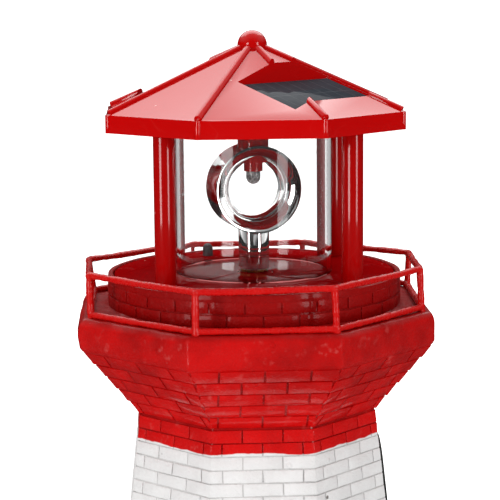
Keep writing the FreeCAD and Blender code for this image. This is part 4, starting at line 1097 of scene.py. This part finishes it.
def clear_tube():
    """The tube's wall turned about the upright axis, with its lower edges rounded."""
    low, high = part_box("glass_tube")
    out, foot, top = high.x / MM, low.z / MM, high.z / MM
    bore = out - TUBE_WALL
    work = bmesh.new()
    section = [(bore, foot + TUBE_ROUND), (bore + TUBE_ROUND, foot), (out - TUBE_ROUND, foot),
               (out, foot + TUBE_ROUND), (out, top), (bore, top)]
    turns = [2 * math.pi * i / TUBE_STEPS for i in range(TUBE_STEPS)]
    tied(work, [[work.verts.new((radius * math.cos(a) * MM, radius * math.sin(a) * MM,
                                 height * MM)) for a in turns] for radius, height in section])
    bmesh.ops.recalc_face_normals(work, faces=work.faces)
    return piece("clear_tube", shaped("clear_tube", work, 35), FINISHES["clear_tube"], "lantern",
                 ["glass_tube"])


softened("roof_shell", 0.28, ROOF_RED)
softened("roof_ceiling", 0.2, POST_RED)
softened("lantern_floor", 0.3, FLOOR_RED)
for node, width in (("machinery_can", 0.3), ("battery_cover", 0.3), ("base_plate", 0.4),
                    ("switch_body", 0.2), ("reflector_stem", 0.18)):
    softened(node, width)
for screws in ("can", "pillar", "roof", "battery_cover", "base", "motor"):
    softened(screws + "_screws", 0.25)
tube = clear_tube()
softened("pillars", 0.15, POST_RED, sharp=40)
for node in ("reflector_ring", "button_cap", "led_holder", "drive_shaft", "shaft_bush", "battery",
             "motor", "control_board", "battery_contact", "battery_spring", "led"):
    stand_in(node, shaped(node, merged(node), 30))
print("lantern pieces dressed; tube faces", len(tube.data.polygons))

# %% [markdown]
# ## Solar panels
# Each panel is a resin-cast plate. The plate keeps its construction place; its own UV map carries
# the cell lines, so they follow the tilt.


# %% solar panels
def solar_panel(node):
    work = merged(node, 1)
    bmesh.ops.bevel(work, geom=work.edges[:], offset=0.25 * MM, segments=2, affect="EDGES",
                    profile=0.5)
    layer = work.loops.layers.uv.new("cells")
    top = max(work.faces, key=lambda f: f.normal.z * f.calc_area())
    across = Vector((0, 0, 1)).cross(top.normal).normalized()
    down = top.normal.cross(across).normalized()
    spans = [[v.co.dot(axis) for v in work.verts] for axis in (across, down)]
    for face in work.faces:
        for loop in face.loops:
            loop[layer].uv = [(loop.vert.co.dot(axis) - min(span)) / (max(span) - min(span))
                              for axis, span in zip((across, down), spans)]
    return stand_in(node, shaped(node, work, 30), ending="_cells")


for node in ("solar_panel_front", "solar_panel_rear"):
    print(solar_panel(node).name)

# %% [markdown]
# ## Studio
# The floor is plain and pale and the light is soft. The photograph's white surround meets the
# camera directly, but the glossy parts see a darker room with a few bright softboxes; that is
# what keeps the red deep. So the world is white to the camera and dim to everything else, and
# the softboxes are area lights.

# %% stage and light
FLOOR_REACH = 30  # metres
SURROUND, FLOOR_GLOW = 1.36, 0.90  # how bright world and floor look to the camera
FLOOR_SHADE, FLOOR_DARK = 0.62, 0.02  # the floor's own colour, and how it looks in reflections
# (turn, rise) in degrees, (width, height) in metres and how bright the face looks
SOFTBOXES = {"key_left": (-42, 6, 0.42, 0.8, 6.9), "fill_right": (40, 6, 0.36, 0.8, 5.5),
             "overhead": (180, 53, 1.9, 1.2, 2.1)}
SOFTBOX_DISTANCE = 1.3


def seen_directly(maker):
    """Masks: what the camera sees, also through the tube; what a reflection sees; reflections
    that leave through the tube; and light led round inside the tube's own wall."""
    paths = maker.add("ShaderNodeLightPath")
    sent, through, mirrors, spread, walls = (Flow(maker.tree, paths.outputs[name]) for name in (
        "Is Camera Ray", "Is Transmission Ray", "Glossy Depth", "Diffuse Depth",
        "Transmission Depth"))
    seen = sent.math("MAXIMUM", through) * mirrors.below(0.5) * spread.below(0.5)
    mirrored = mirrors.above(0.5) * spread.below(0.5)
    return seen, mirrored, mirrored * through, mirrored * through * walls.below(2.5)


def stage_floor():
    corners = [(x * FLOOR_REACH, y * FLOOR_REACH, 0)
               for x, y in ((-1, -1), (1, -1), (1, 1), (-1, 1))]
    mesh = bpy.data.meshes.new("floor")
    mesh.from_pydata(corners, [], [(0, 1, 2, 3)])
    floor = bpy.data.objects.new("floor", mesh)
    scene.collection.objects.link(floor)
    finish = Finish("pale_floor", Roughness=0.9, Specular_IOR_Level=0.0, Emission_Color=grey(1))
    seen, mirrored, _, led = seen_directly(finish)
    away = finish.flow("ShaderNodeVectorMath", "Value", {"operation": "LENGTH"},
                       Vector=finish.here)
    shade = mirrored.flipped() * FLOOR_SHADE + FLOOR_DARK
    finish.feed(
        Emission_Strength=(seen * away.ramp(0.1, 0.5) * FLOOR_GLOW
                           + mirrored.flipped() * 0.12 + led * 0.6),
        Base_Color=finish.flow("ShaderNodeCombineColor", Red=shade, Green=shade, Blue=shade))
    mesh.materials.append(finish.material)


def softbox(name, turn, rise, width, height, brightness):
    """An area light that faces the lantern."""
    data = bpy.data.lights.new(name, "AREA")
    data.shape = "RECTANGLE"
    data.size, data.size_y = width, height
    data.energy = brightness * math.pi * width * height
    aimed(name, data, outward(math.radians(turn), math.radians(rise)), SOFTBOX_DISTANCE)


def surround():
    """White behind for the camera, soft all round for light, and a dark room in front for gloss."""
    world = bpy.data.worlds.new("studio")
    scene.world = world
    world.use_nodes = True
    sky = Pattern(world.node_tree)
    view = sky.tree.nodes.new("ShaderNodeTexCoord").outputs["Generated"]
    _, depth, height = sky.split(view)
    seen, mirrored, inside, led = seen_directly(sky)
    behind = depth.ramp(-0.8, 0.1)
    cards = sky.noise(1.7, 1.0, where=view).ramp(0.42, 0.6)
    room = (behind * height.ramp(0.2, 0.6) * 0.6 + 0.02 + inside * (cards * 0.45 + behind * 0.75)
            + led * 0.4)
    light = mirrored.flipped() * (height.ramp(0.1, 0.95) * 0.8 + 0.18) + mirrored * room
    background = sky.tree.nodes["Background"]
    background.inputs["Color"].default_value = grey(1)
    plug(sky.tree, seen * SURROUND + seen.flipped() * light, background.inputs["Strength"])


stage_floor()
surround()
for name, values in SOFTBOXES.items():
    softbox(name, *values)
scene.view_settings.view_transform = "Standard"
